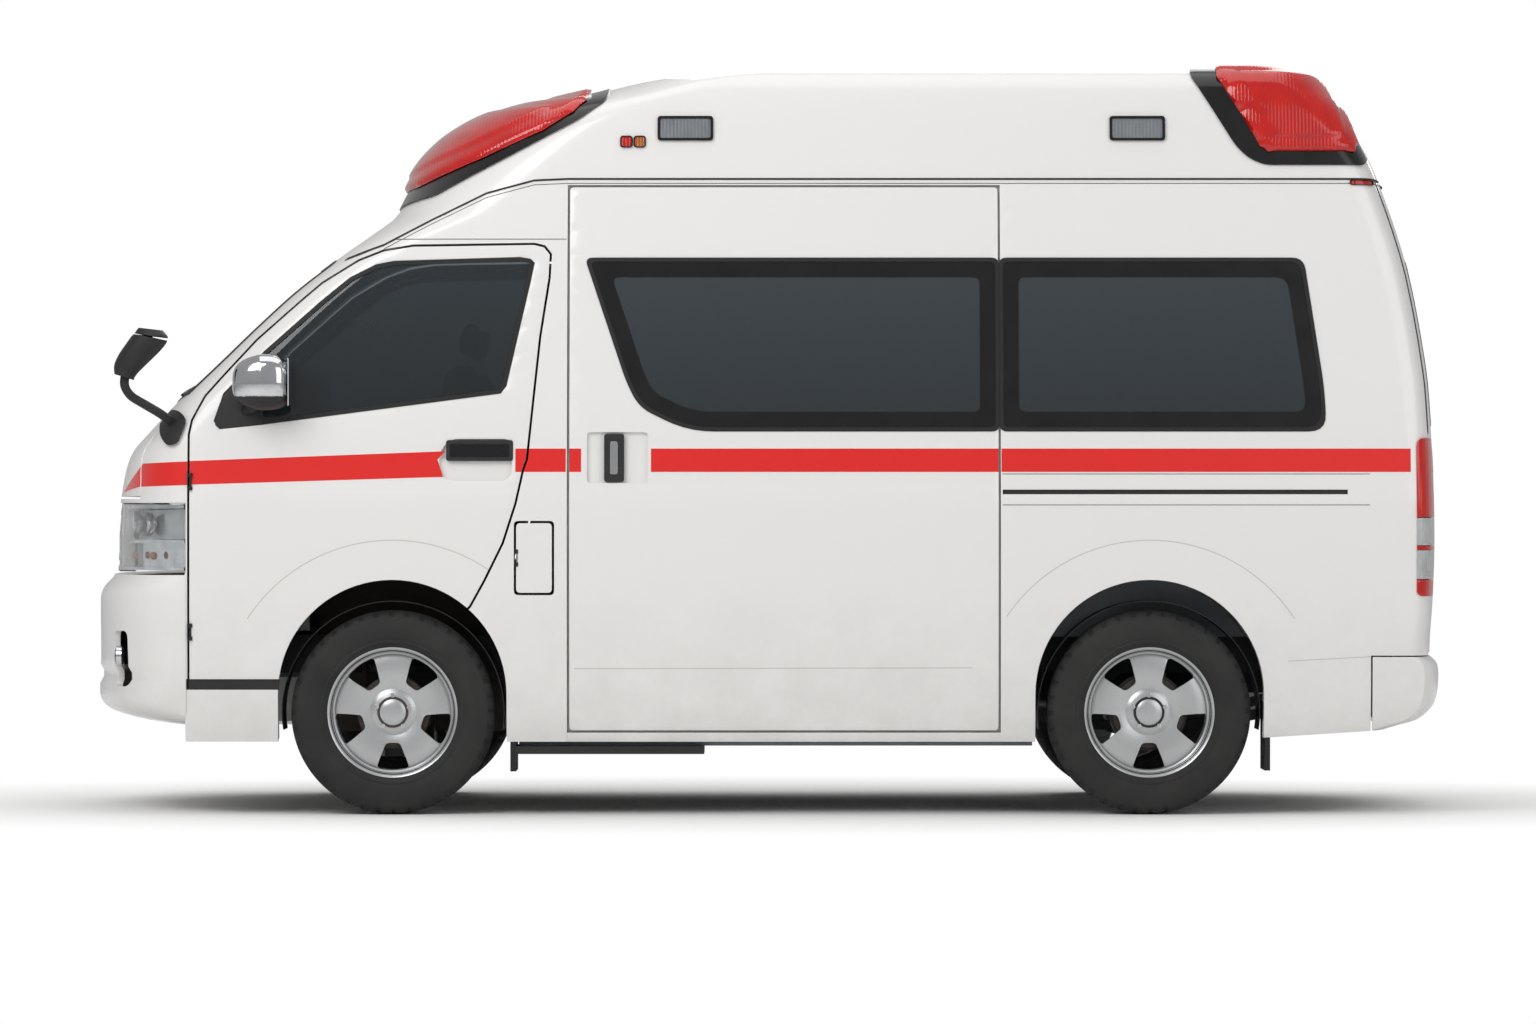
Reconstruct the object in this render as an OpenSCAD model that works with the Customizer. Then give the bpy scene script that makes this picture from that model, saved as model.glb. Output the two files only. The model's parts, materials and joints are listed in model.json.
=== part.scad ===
// High-roof ambulance van on a short wheelbase. Front faces -X, left side is -Y, ground is Z = 0.
// Body panels are cut from one lofted skin, so that a change of width or wall moves them all together.

/* [Wheels and axles] */
// Distance between the front and rear axle
wheelbase = 2570; // [2450:10:2700]
// Middle of the wheelbase, measured from the middle of the vehicle
axle_mid_x = 17; // [0:1:30]
// Outside radius of a tyre
tyre_r = 346.5; // [335:0.5:352]
// Width of a tyre
tyre_w = 196; // [185:1:205]
// Radius of the rim's flange
rim_r = 212; // [205:1:216]
// Width of the rim
rim_w = 166; // [150:1:172]
// Distance from the centre plane to the middle of a wheel
half_track = 827; // [815:1:830]
// Distance from the centre plane to the steering axis
kingpin_y = 750; // [740:1:760]
// Radius of the wheel arch
arch_r = 388; // [385:1:400]
// Height of the wheel arch's centre
arch_z = 409; // [400:1:420]
// Largest steering angle in degrees
steer_max = 34; // [25:1:35]

/* [Body] */
// Half the width of the body at its widest
half_w = 940; // [935:1:960]
// Thickness of a wall, a roof or a door
wall = 55; // [45:1:65]
// Height of the seam between the body sides and the roof cap
cap_z = 2163; // [2155:1:2175]
// Shut gap round a door or lid
gap = 8; // [6:0.5:9]
// Seam between two fixed panels
seam = 0.4; // [0.3:0.1:0.8]
// Thickness of window glass
glass_t = 6; // [4:0.5:8]
// Height of the underside of the sills
sill_z = 247; // [240:1:255]
// Height of the top of the load floor
floor_z = 640; // [630:1:650]
// Thickness of the load floor
floor_t = 40; // [25:1:50]

/* [Doors and lids] */
// Front edge of the front doors
door_x = -1963; // [-1970:1:-1955]
// Bottom edge of the front doors
door_bottom_z = 452; // [448:1:470]
// Front edge of the sliding door
slide_x0 = -675; // [-690:1:-660]
// Rear edge of the sliding door
slide_x1 = 797; // [780:1:810]
// Bottom edge of the sliding door
slide_bottom_z = 278; // [270:1:300]
// Depth of the tailgate's wrap round the rear corners
gate_wrap = 57; // [50:1:70]
// Bottom edge of the tailgate
gate_bottom_z = 548; // [545:1:560]
// Top edge of the bonnet
bonnet_top_z = 1366; // [1355:1:1370]
// Thickness of a door's outer leaf, which laps over its inner leaf
leaf_t = 22; // [18:1:25]
// Radius of a hinge pin
pin_r = 3.5; // [3:0.5:4]

/* [Hidden] */

fit = 0.3; // clearance of a bonded or bolted edge
run = 0.08; // running clearance of a pin or a bearing
front_axle_x = axle_mid_x - wheelbase / 2;
rear_axle_x = axle_mid_x + wheelbase / 2;
far = 3000;
LEFT = -1;
RIGHT = 1;

// ---- the lofted skin: each curve is a table of [height, value] ----
NOSE_X = [[200, -2262], [830, -2272], [930, -2272], [1035, -2262], [1135, -2246], [1190, -2232],
  [1240, -2208], [1290, -2163], [1340, -2114], [1420, -2034], [1530, -1918], [1660, -1784],
  [1785, -1648], [1890, -1514], [2000, -1372], [2060, -1300], [2130, -1262], [2225, -1210],
  [2300, -1142], [2348, -1075], [2385, -1005], [2417, -915], [2441, -815], [2462, -715],
  [2484, -620], [2508, -530], [2529, -427], [2545, -310], [2557, -170], [2563, -20]];
TAIL_X = [[200, 2296], [580, 2302], [730, 2312], [930, 2318], [1140, 2315], [1290, 2308],
  [1460, 2298], [1610, 2278], [1835, 2237], [1985, 2196], [2105, 2156], [2215, 2115], [2310, 2074],
  [2390, 2033], [2440, 1992], [2485, 1962], [2510, 1945], [2535, 1912], [2553, 1870], [2563, 1810]];
// what the body is narrower than its widest
TUCK_Y = [[200, 50], [250, 35], [330, 18], [450, 10], [700, 2], [1000, 0], [1075, 0], [1110, 6],
  [1300, 18], [1600, 52], [1880, 88], [2160, 134], [2250, 150], [2400, 178], [2480, 205],
  [2515, 238], [2540, 290], [2555, 370], [2563, 500]];
// bow of the front in plan, reach of its corners, and how square they are
BOW = [[200, 80], [1000, 75], [1250, 60], [1450, 35], [1900, 40], [2060, 90], [2400, 140], [2563, 60]];
REACH = [[200, 330], [1100, 320], [1420, 250], [1900, 250], [2060, 330], [2300, 420], [2563, 300]];
SQUARE = [[200, 3.4], [1100, 3.6], [1420, 4.5], [1900, 4.2], [2100, 3.2], [2563, 2.6]];
TAIL_BOW = [[200, 30], [2160, 30], [2563, 60]];
TAIL_REACH = [[200, 95], [1300, 95], [2160, 110], [2563, 240]];
TAIL_SQUARE = 3.6;
SKIN_Z = [200, 250, 330, 450, 700, 830, 1035, 1075, 1110, 1190, 1240, 1290, 1340, 1420, 1530,
  1660, 1785, 1890, 2000, 2060, 2130, 2225, 2300, 2360, 2410, 2450, 2490, 2529, 2552, 2563];
BUMPER_X = [[250, -1700], [270, -1850], [295, -2054], [312, -2176], [332, -2258], [349, -2299],
  [366, -2319], [395, -2332], [432, -2332], [458, -2318], [480, -2318], [500, -2329], [729, -2329],
  [760, -2321], [785, -2302], [813, -2278], [840, -2278]];
BUMPER_Z = [250, 270, 295, 312, 332, 349, 366, 395, 432, 458, 480, 500, 729, 760, 785, 813];
REAR_BUMPER_X = [[285, 2150], [300, 2200], [318, 2262], [340, 2292], [373, 2318], [424, 2330],
  [475, 2332], [505, 2328], [522, 2316], [535, 2300]];
REAR_BUMPER_Z = [285, 300, 318, 340, 373, 424, 475, 505, 522, 535];
CORNER_STEPS = [0, 8, 20, 35, 50, 65, 80, 90];
TAIL_STEPS = [90, 72, 50, 28, 10, 0];

function body_w(z) = half_w - lookup(z, TUCK_Y);
function front_half(z, nose, w) = [for (t = CORNER_STEPS)
  let (n = lookup(z, SQUARE), y = pow(sin(t), 2 / n))
  [nose + lookup(z, BOW) * y * y + lookup(z, REACH) * (1 - pow(cos(t), 2 / n)), w * y]];
function rear_half(z, tail, w) = [for (t = TAIL_STEPS)
  let (y = pow(sin(t), 2 / TAIL_SQUARE))
  [tail - lookup(z, TAIL_BOW) * y * y - lookup(z, TAIL_REACH) * (1 - pow(cos(t), 2 / TAIL_SQUARE)), w * y]];
// plan outline of the skin at one height, grown outwards by g
function ring(z, nose_x, tail_x, g) = let (
    w = body_w(z) + g,
    half = concat(front_half(z, lookup(z, nose_x) - g, w), rear_half(z, lookup(z, tail_x) + g, w)),
    n = len(half))
  concat(half, [for (i = [n - 2 : -1 : 1]) [half[i][0], -half[i][1]]]);
function at_height(points, z) = [for (p = points) [p[0], p[1], z]];

// one slab of the loft, between two outlines of the same number of points
module slab(low, high, z0, z1) {
  n = len(low);
  hull() polyhedron(points = concat(at_height(low, z0), at_height(high, z1)), faces = concat(
    [[for (i = [0 : n - 1]) i]], [[for (i = [n - 1 : -1 : 0]) n + i]],
    [for (i = [0 : n - 1]) [i, n + i, n + (i + 1) % n, (i + 1) % n]]));
}
module loft(levels, nose_x, tail_x, g) {
  for (i = [0 : len(levels) - 2])
    slab(ring(levels[i], nose_x, tail_x, g), ring(levels[i + 1], nose_x, tail_x, g),
      levels[i] + (i == 0 ? -abs(g) : g), levels[i + 1] + g);
}
module skin(g) loft(SKIN_Z, NOSE_X, TAIL_X, g);
// the band of the skin between two depths below its surface
module shell(outer, inner) difference() { skin(-outer); skin(-inner); }

// ---- cutting outlines ----
// an outline drawn in X and Z, extruded over a stretch of Y
module side_cut(points, y0, y1, grow = 0)
  translate([0, y1, 0]) rotate([90, 0, 0]) linear_extrude(y1 - y0) offset(delta = grow) polygon(points);
// the same over one side of the vehicle only
module flank(points, side, grow = 0)
  side_cut(points, side == LEFT ? -far : 0, side == LEFT ? 0 : far, grow);
// an outline drawn in Y and Z, extruded over a stretch of X
module front_cut(points, x0, x1, grow = 0)
  translate([x0, 0, 0]) rotate([90, 0, 90]) linear_extrude(x1 - x0) offset(delta = grow) polygon(points);
module block(x0, x1, y0, y1, z0, z1) translate([x0, y0, z0]) cube([x1 - x0, y1 - y0, z1 - z0]);
// a block on one side, from y0 to y1 away from the centre plane
module flank_block(side, x0, x1, y0, y1, z0, z1)
  block(x0, x1, side == LEFT ? -y1 : y0, side == LEFT ? -y0 : y1, z0, z1);
module both_sides() { children(); mirror([0, 1, 0]) children(); }

CAP_LINE = [[-1900, 1905], [-1440, 1890], [-1302, 1938], [-1139, 2025], [-952, 2115], [-790, cap_z - 5],
  [slide_x0, cap_z], [far, cap_z]];
CAP_REGION = concat(CAP_LINE, [[far, far], [-1900, far]]);
DOOR_LINE = [[door_x, door_bottom_z], [door_x, 1290], [-1953, 1340], [-1909, 1424], [-1841, 1502],
  [-1737, 1617], [-1592, 1746], [-1515, 1812], [-1390, 1888], [-1302, 1922], [-1202, 1938],
  [-788, 1944], [-751, 1935], [-728, 1906], [-732, 1824], [-763, 1624], [-807, 1205], [-820, 1169],
  [-845, 1056], [-889, 919], [-951, 793], [-1000, 704], [front_axle_x, door_bottom_z]];
DOOR_WINDOW = [[-1873, 1336], [-1854, 1309], [-1716, 1323], [-901, 1430], [-882, 1455],
  [-801, 1812], [-788, 1875], [-801, 1888], [-838, 1894], [-1265, 1881], [-1327, 1869],
  [-1415, 1825], [-1515, 1743], [-1704, 1574], [-1841, 1430]];
SLIDE_LINE = [[slide_x0, slide_bottom_z], [slide_x0, cap_z - 21], [slide_x1, cap_z - 21],
  [slide_x1, slide_bottom_z + 12], [slide_x1 - 12, slide_bottom_z]];
window_z0 = 1305;
window_z1 = 1888;
FRONT_PANE = [[-610, 1863], [-604, 1881], [-584, window_z1], [slide_x1 - gap, window_z1],
  [slide_x1 - gap, window_z0], [-264, window_z0], [-322, 1314], [-377, 1340], [-427, 1386], [-470, 1470]];
REAR_PANE = [[slide_x1, window_z1], [1784, window_z1], [1812, 1876], [1826, 1852], [1891, 1447],
  [1897, 1357], [1888, 1322], [1850, window_z0], [slide_x1, window_z0]];
WINDSCREEN = [[-735, 1440], [-400, 1412], [0, 1402], [400, 1412], [735, 1440], [640, 1874],
  [600, 1884], [0, 1886], [-600, 1884], [-640, 1874]];
BONNET = [[-810, 1072], [810, 1072], [748, bonnet_top_z], [-748, bonnet_top_z]];
lamp_z0 = 822;
lamp_z1 = 1058;
lamp_y = 565;
grille_z0 = 860;
FUEL_LID = [[-851, 765], [-835, 749], [-738, 749], [-722, 765], [-722, 977], [-738, 993],
  [-835, 993], [-851, 977]];
fuel_x = FUEL_LID[0][0];

// everything ahead of the tailgate's split line, by x less than the tail's profile less its wrap
GATE_Z = [cap_z + 1, 2105, 2050, 1985, 1900, 1835, 1720, 1610, 1460, 1290, 1140, 930, 730, 580, 200];
module gate_side(extra) side_cut(concat([[-far, -10], [-far, cap_z + 1]],
  [for (z = GATE_Z) [lookup(z, TAIL_X) - gate_wrap + extra, z]], [[TAIL_X[0][1] - gate_wrap, -10]]), -far, far);
lamp_pillar_y = 790;
lamp_pillar_z = 1290;

module arch_space(axle_x, y0, y1, r = arch_r) both_sides() {
  translate([axle_x, y1, arch_z]) rotate([90, 0, 0]) cylinder(r = r, h = y1 - y0, $fn = 56);
  block(axle_x - r, axle_x + r, y0, y1, 0, arch_z);
}

// ---- hinges: local Z is the axis, +X points to the leaf that moves, +Y into the vehicle ----
hinge_lug_h = 20;
hinge_tab_h = 14;
hinge_h = 2 * (hinge_tab_h + 5) + hinge_lug_h;
hinge_r = 7;
// from the pin's axis to the fixed panel that the hinge is bolted to
hinge_plate = gap + 3 - fit;
module hinge_fixed(s = 1) {
  cylinder(r = pin_r * s, h = hinge_h, center = true, $fn = 40);
  for (m = [-1, 1]) translate([0, 0, m * (hinge_h - hinge_tab_h) / 2]) {
    cylinder(r = hinge_r * s, h = hinge_tab_h, center = true, $fn = 40);
    translate([-hinge_plate, 0, -hinge_tab_h / 2]) cube([hinge_plate, hinge_r * s, hinge_tab_h]);
  }
  translate([-hinge_plate, 0, -hinge_h / 2]) cube([3, 38 * s, hinge_h]);
}
module hinge_room(s = 1) {
  cylinder(r = 14, h = hinge_h + 12, center = true, $fn = 40);
  translate([-20, 0, -hinge_h / 2 - 6]) cube([25, 38 * s + 8, hinge_h + 12]);
}
module hinge_lug(s = 1) difference() {
  union() {
    cylinder(r = hinge_r * s, h = hinge_lug_h, center = true, $fn = 40);
    translate([0, 0, -hinge_lug_h / 2]) cube([24, hinge_r * s, hinge_lug_h]);
  }
  cylinder(r = pin_r * s + run, h = hinge_lug_h + 2, center = true, $fn = 40);
}
door_hinge_x = door_x + gap + 3;
door_hinge_y = half_w - 4;
DOOR_HINGE_Z = [620, 1130];
module at_door_hinges(side) for (z = DOOR_HINGE_Z)
  translate([door_hinge_x, side * door_hinge_y, z]) mirror([0, side == RIGHT ? 1 : 0, 0]) children();
gate_hinge_y = 380;
gate_hinge_z = cap_z - gap - 3;
gate_hinge_x = lookup(gate_hinge_z, TAIL_X) - 6;
bonnet_hinge_y = 250;
bonnet_hinge_z = bonnet_top_z - gap - 3;
bonnet_hinge_x = lookup(bonnet_hinge_z, NOSE_X) + 3;
fuel_hinge_s = 0.6;
module at_fuel_hinge() translate([fuel_x + gap / 2 + 3, -half_w + 1, (FUEL_LID[0][1] + FUEL_LID[7][1]) / 2]) children();
// turns a hinge's frame so that its axis lies along Y, its leaf hangs down and the cabin is inwards
module leaf_down(inwards) multmatrix([[0, -inwards, 0, 0], [0, 0, 1, 0], [-1, 0, 0, 0], [0, 0, 0, 1]]) children();

// ---- fixed body ----
module cab_shell() color("white") {
  difference() {
    shell(0, wall);
    side_cut(CAP_REGION, -far, far, seam);
    block(slide_x0 - seam, far, -far, far, 0, far);
    block(-far, far, -far, far, 0, sill_z);
    // bumper, step and everything in front of the doors below the lamps
    block(-far, door_x - gap / 2 - 0.7, -far, far, 0, lamp_z0 + seam);
    both_sides() side_cut(DOOR_LINE, 0, far);
    block(door_x - gap / 2, front_axle_x, -far, far, 424, door_bottom_z + gap);
    arch_space(front_axle_x, half_track - tyre_w, far);
    // lamps, grille, bonnet and windscreen
    block(-far, door_x - gap / 2 - 1, lamp_y, far, lamp_z0 - 1, lamp_z1);
    block(-far, door_x - gap / 2 - 1, -far, -lamp_y, lamp_z0 - 1, lamp_z1);
    block(-far, -1500, -lamp_y, lamp_y, 0, lamp_z1);
    front_cut(BONNET, -far, -1950);
    front_cut(WINDSCREEN, -far, -1300);
    flank(FUEL_LID, LEFT, gap / 2);
  }
  // pillars that carry the door hinges, the lamps and the bumper
  both_sides() block(door_x - gap / 2 - 45, door_x - gap / 2, 800, half_w - 52, 460, 1240);
  block(door_x - gap / 2 - 45, door_x - gap / 2 - 25, -800, 800, floor_z, 1180);
  // back of the fuel filler's pocket
  block(fuel_x - 12, FUEL_LID[3][0] + 12, -half_w + wall - 12, -half_w + wall - 3, 735, 1007);
}
module body_side(side) difference() {
  shell(0, wall);
  block(-far, far, side == LEFT ? 0 : -far, side == LEFT ? far : 0, 0, far);
  block(-far, slide_x0, -far, far, 0, far);
  block(-far, far, -far, far, cap_z - seam, far);
  block(-far, far, -far, far, 0, sill_z);
  difference() {
    block(0, far, -far, far, 0, cap_z + 1);
    gate_side(0);
    flank_block(side, 0, far, lamp_pillar_y, far, 0, lamp_pillar_z);
  }
  block(0, far, -lamp_pillar_y, lamp_pillar_y, 0, lamp_pillar_z);
  block(2052, far, -far, far, 0, gate_bottom_z - gap);
  tail_lamp_room(seam);
  arch_space(rear_axle_x, half_track - tyre_w, far);
  flank(FRONT_PANE, side);
  flank(REAR_PANE, side);
  // the lower edge rises behind the rear wheel
  side_cut([[rear_axle_x, 0], [far, 0], [far, 345], [1710, 262], [rear_axle_x, 247]], -far, far);
}
module left_side_panel() color("white") {
  difference() {
    body_side(LEFT);
    flank(SLIDE_LINE, LEFT);
    // channel of the sliding door's rail
    block(slide_x1 + 6, 1973, -half_w - 5, -half_w + 20, 1087, 1103);
  }
  block(slide_x1 + 8, 1971, -half_w + 20, -half_w + wall - 8, 1082, 1108);
}
module right_side_panel() color("white") body_side(RIGHT);
module sliding_door() color("white") difference() {
  union() {
    intersection() { shell(0, leaf_t); flank(SLIDE_LINE, LEFT, -gap); }
    intersection() { shell(leaf_t - 0.1, wall); flank(SLIDE_LINE, LEFT, -fit); }
  }
  flank(FRONT_PANE, LEFT);
}
module roof_cap() color("white") intersection() {
  shell(0, wall);
  side_cut(CAP_REGION, -far, far);
}
module floor() color("dimgray") {
  w = half_w - wall - 6;
  // the seat platform stays clear of the doors
  side_w = half_w - wall - 16;
  sill_w = half_w - wall - 30;
  platform_z = 850;
  well_x = -1690;
  // load floor, with the rear wheel houses
  difference() {
    block(-848, 2128, -w, w, floor_z - floor_t, floor_z);
    arch_space(rear_axle_x, half_track - tyre_w / 2 - 30, far, arch_r + 12);
  }
  intersection() {
    difference() {
      arch_space(rear_axle_x, half_track - tyre_w / 2 - 42, w, arch_r + 12);
      arch_space(rear_axle_x, half_track - tyre_w / 2 - 30, w + 1, arch_r);
    }
    block(0, far, -far, far, floor_z - floor_t, far);
  }
  // seat platform over the engine and the front wheels
  difference() {
    block(well_x, -830, -side_w, side_w, floor_z - 220, platform_z);
    block(well_x + 18, -848, -side_w + 12, side_w - 12, 0, platform_z - 22);
    both_sides() block(well_x + 18, -848, side_w - 20, far, 0, platform_z - 22);
    block(well_x - 1, 0, -700, 700, 0, floor_z - floor_t);
  }
  // footwell, and the steps below the doors
  block(-2000, well_x, -799.7, 799.7, floor_z - floor_t, floor_z);
  both_sides() {
    block(-1952, well_x, 700, half_w - 34, 426, 448);
    block(-1952, -1934, 700, 820, 426, floor_z - floor_t);
  }
  // sill boxes between the wheels
  both_sides() block(-840, rear_axle_x - arch_r - 8, 760, sill_w, 232, 300);
  both_sides() for (x = [-790, 800]) block(x, x + 60, 780, 840, 300, floor_z - floor_t);
}
rail_y = 415;
rail_w = 70;
module chassis_frame() color("black") {
  rail_z0 = 470;
  rail_z1 = floor_z - floor_t;
  both_sides() {
    difference() {
      block(-2170, 2167.7, rail_y - rail_w / 2, rail_y + rail_w / 2, rail_z0, rail_z1);
      // room for the front crossmember's arms
      block(front_axle_x - 135, front_axle_x + 135, rail_y - rail_w, rail_y + rail_w, 0, 501);
    }
    // jack pads
    for (x = [-700, 560]) block(x, x + 100, rail_y - 40, rail_y + 40, 440, rail_z0);
    // spring hangers with their pins
    for (x = SPRING_END_X) difference() {
      block(x - 35, x + 35, rail_y + rail_w / 2, rail_y + rail_w / 2 + 22, spring_eye_z - 30, rail_z1 - 10);
    }
    for (x = SPRING_END_X) translate([x, rail_y + rail_w / 2 + 22 + 66, spring_eye_z])
      rotate([90, 0, 0]) cylinder(r = 10, h = 66.5, $fn = 40);
  }
  for (x = [-2150, -1720, -620, 300, 780, 2060]) block(x, x + 60, -(rail_y - rail_w / 2), rail_y - rail_w / 2, 490, 560);
  // towing eye behind the front air intake, bored along X
  difference() {
    union() {
      block(-2235, -2215, 235, 325, 530, 624);
      block(-2216, -2149, 240, 320, 490, 560);
    }
    translate([-2300, 280, tow_eye_z]) rotate([0, 90, 0]) cylinder(r = tow_eye_r, h = 120, $fn = 48);
  }
  // tie-down plate at the rear, bored along Z
  difference() {
    block(2119, 2164, 235, 325, 500, 520);
    translate([2141, 280, 490]) cylinder(r = tie_down_r, h = 40, $fn = 48);
  }
}
tow_eye_r = 16;
tow_eye_z = 582;
tie_down_r = 12;
module grille() color("silver") {
  z_top = lamp_z1 - 3;
  intersection() {
    shell(4, 22);
    union() {
      for (i = [0 : 3]) block(-far, -1500, -lamp_y + 2, lamp_y - 2, grille_z0 + i * 52, grille_z0 + i * 52 + 26);
      block(-far, -1500, -30, 30, grille_z0, z_top);
      both_sides() block(-far, -1500, lamp_y - 22, lamp_y - 2, lamp_z0 + 1, z_top);
      block(-far, -1500, -lamp_y + 2, lamp_y - 2, lamp_z0 + 1, lamp_z0 + 20);
      block(-far, -1500, -lamp_y + 2, lamp_y - 2, z_top - 12, z_top + 2.6);
    }
  }
}
module front_bumper() color("white") difference() {
  loft(BUMPER_Z, BUMPER_X, TAIL_X, 0);
  loft(BUMPER_Z, BUMPER_X, TAIL_X, -20);
  block(door_x - gap / 2 - 1, far, -far, far, 0, far);
  block(-far, far, -far, far, lamp_z0 - 9, far);
  block(door_x - 67, far, -half_w + 34, half_w - 34, 700, far);
  // lower air intake and the fog lamps' recesses
  block(-far, -2100, -430, 430, 505, 640);
  both_sides() block(-2262, -2100, 745, 838, 432, 622);
}
module bumper_brackets() both_sides()
  block(-2245, -2170, rail_y - 30, rail_y + 30, 500, 580);
module rear_bumper() color("white") difference() {
  loft(REAR_BUMPER_Z, NOSE_X, REAR_BUMPER_X, 0);
  block(-far, 2058, -far, far, 0, far);
  block(0, 2168, -far, far, 0, far);
}
module headlamps() color("lightgray") both_sides() intersection() {
  shell(0, 19);
  block(-far, door_x - gap / 2 - 1.4, lamp_y + fit, far, lamp_z0 + fit, lamp_z1 - fit);
}
TAIL_LAMP = [[2212, 760], [2228, 742], [far, 742], [far, 1278], [2235, 1278], [2214, 1255], [2207, 1200], [2207, 780]];
module tail_lamp_room(grow) both_sides() side_cut(TAIL_LAMP, lamp_pillar_y + 10 - grow, far, grow);
module tail_lamps() color("red") intersection() {
  shell(-4, 30);
  tail_lamp_room(0);
}
module windscreen() color([0.2, 0.22, 0.24, 0.6]) intersection() {
  shell(2, 2 + glass_t);
  front_cut(WINDSCREEN, -far, -1300, -fit);
}
module side_windows() color([0.15, 0.16, 0.18, 0.6]) for (side = [LEFT, RIGHT]) intersection() {
  shell(1, 1 + glass_t);
  union() {
    flank(FRONT_PANE, side, -fit);
    flank(REAR_PANE, side, -fit);
  }
}
FRONT_BEACON = [[-1400, 2070], [-1139, 2113], [-889, 2238], [-638, 2370], [-550, 2439], [-540, 2471],
  [-565, 2600], [-1400, 2600]];
FRONT_LENS = [[-1400, 2132], [-1202, 2151], [-976, 2238], [-763, 2333], [-663, 2396], [-613, 2446],
  [-638, 2600], [-1400, 2600]];
REAR_BEACON = [[1450, 2526], [1467, 2600], [1960, 2600], [2068, 2245], [2046, 2211], [1703, 2211],
  [1647, 2234], [1602, 2279]];
REAR_LENS = [[1546, 2515], [1560, 2600], [1932, 2600], [2024, 2290], [2007, 2259], [1714, 2259], [1686, 2279]];
base_t = 7;
lens_t = 19;
module beacon_bases() color("black") both_sides() {
  intersection() { shell(-base_t, -fit); side_cut(FRONT_BEACON, 1, far); }
  intersection() { shell(-base_t, -fit); side_cut(REAR_BEACON, 430, far); }
}
module beacon_lenses() color("red") both_sides() {
  intersection() { shell(-base_t - lens_t, -base_t - fit); side_cut(FRONT_LENS, 150, far); }
  intersection() { shell(-base_t - lens_t, -base_t - fit); side_cut(REAR_LENS, 480, far); }
}
UNDER_PLATE = [[-2048, 1378], [-2071, 1345], [-2066, 1290], [-2033, 1251], [-1998, 1258], [-1966, 1342],
  [-2000, 1374]];
module under_mirror() color("black") {
  intersection() { shell(-14, 0); flank(UNDER_PLATE, LEFT); block(-far, 0, -far, -776, 0, far); }
  ARM = [[-2030, -858, 1345], [-2120, -890, 1400], [-2180, -898, 1450], [-2172, -898, 1500]];
  difference() {
    for (i = [0 : 2]) hull() {
      translate(ARM[i]) sphere(r = 15, $fn = 12);
      translate(ARM[i + 1]) sphere(r = 14, $fn = 12);
    }
    skin(0);
  }
  hull() {
    translate([-2166, -898, 1500]) sphere(r = 24, $fn = 16);
    translate([-2094, -898, 1620]) scale([1, 1.9, 1]) sphere(r = 37, $fn = 20);
    translate([-2088, -898, 1560]) scale([0.9, 1.9, 1]) sphere(r = 34, $fn = 20);
  }
}
module side_step() color("black") {
  block(-848.7, -210, -905, -690, 205, 231.6);
}
module mud_flaps() color("black") both_sides() {
  block(-868, -849, 700, 905, 146, sill_z - fit);
  block(-868, -849, 700, 855, sill_z - 1, 432);
  block(1694, 1712, 700, 905, 149, 261.1);
  block(1694, 1712, 700, 855, 260, 380);
}

// ---- moving panels ----
module front_door(side) color("white") {
  difference() {
    union() {
      intersection() { shell(0, leaf_t); flank(DOOR_LINE, side, -gap); }
      intersection() { shell(leaf_t - 0.1, wall); flank(DOOR_LINE, side, -20); }
    }
    arch_space(front_axle_x, half_track - tyre_w, far);
    flank(DOOR_WINDOW, side);
    at_door_hinges(side) hinge_room();
  }
  at_door_hinges(side) hinge_lug();
}
module door_glass(side) color([0.2, 0.22, 0.24, 0.6]) intersection() {
  shell(3, 3 + glass_t);
  flank(DOOR_WINDOW, side, -fit);
}
module door_mirror(side) color("silver") {
  foot_y = body_w(1400) - 12;
  difference() {
    union() {
      translate([-1707, side * (foot_y + 105), 1461]) rotate_extrude($fn = 48) polygon([[0, -98], [60, -93],
        [84, -74], [94, -40], [96, 0], [94, 40], [84, 74], [60, 93], [0, 98]]);
      translate([-1786, side * (foot_y - 30), 1286]) rotate([side * -56, 0, 0]) cylinder(r = 24, h = 150, $fn = 40);
    }
    skin(0);
    block(-1613, -1500, -far, far, 1300, 1700);
  }
}
module tailgate() color("white") {
  difference() {
    shell(0, wall);
    gate_side(gap);
    // the top corners turn forward a little as the gate opens
    intersection() { gate_side(gap + 9); block(0, far, -far, far, cap_z - 110, far); }
    block(-far, far, -far, far, cap_z - gap, far);
    block(-far, far, -far, far, 0, gate_bottom_z);
    both_sides() block(0, far, lamp_pillar_y - gap, far, 0, lamp_pillar_z + gap);
    front_cut(GATE_WINDOW, 1500, far);
    at_gate_hinges_down() hinge_room();
  }
  at_gate_hinges_down() hinge_lug();
}
GATE_WINDOW = [[-690, 1330], [690, 1330], [715, 1360], [660, 1850], [630, 1880], [-630, 1880],
  [-660, 1850], [-715, 1360]];
module at_gate_hinges_down() for (y = [-gate_hinge_y, gate_hinge_y])
  translate([gate_hinge_x, y, gate_hinge_z]) leaf_down(1) children();
module at_bonnet_hinges_down() for (y = [-bonnet_hinge_y, bonnet_hinge_y])
  translate([bonnet_hinge_x, y, bonnet_hinge_z]) leaf_down(-1) children();
module tailgate_glass() color([0.15, 0.16, 0.18, 0.6]) intersection() {
  shell(2, 2 + glass_t);
  front_cut(GATE_WINDOW, 1500, far, -fit);
}
module bonnet() color("white") {
  difference() {
    intersection() {
      shell(0, 36);
      front_cut(BONNET, -far, -1950, -gap);
    }
    at_bonnet_hinges_down() hinge_room();
  }
  at_bonnet_hinges_down() hinge_lug();
}
module fuel_lid() color("white") {
  difference() {
    intersection() { shell(0, 12); flank(FUEL_LID, LEFT, -gap / 2); }
    at_fuel_hinge() hinge_room(fuel_hinge_s);
  }
  at_fuel_hinge() hinge_lug(fuel_hinge_s);
}
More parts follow.
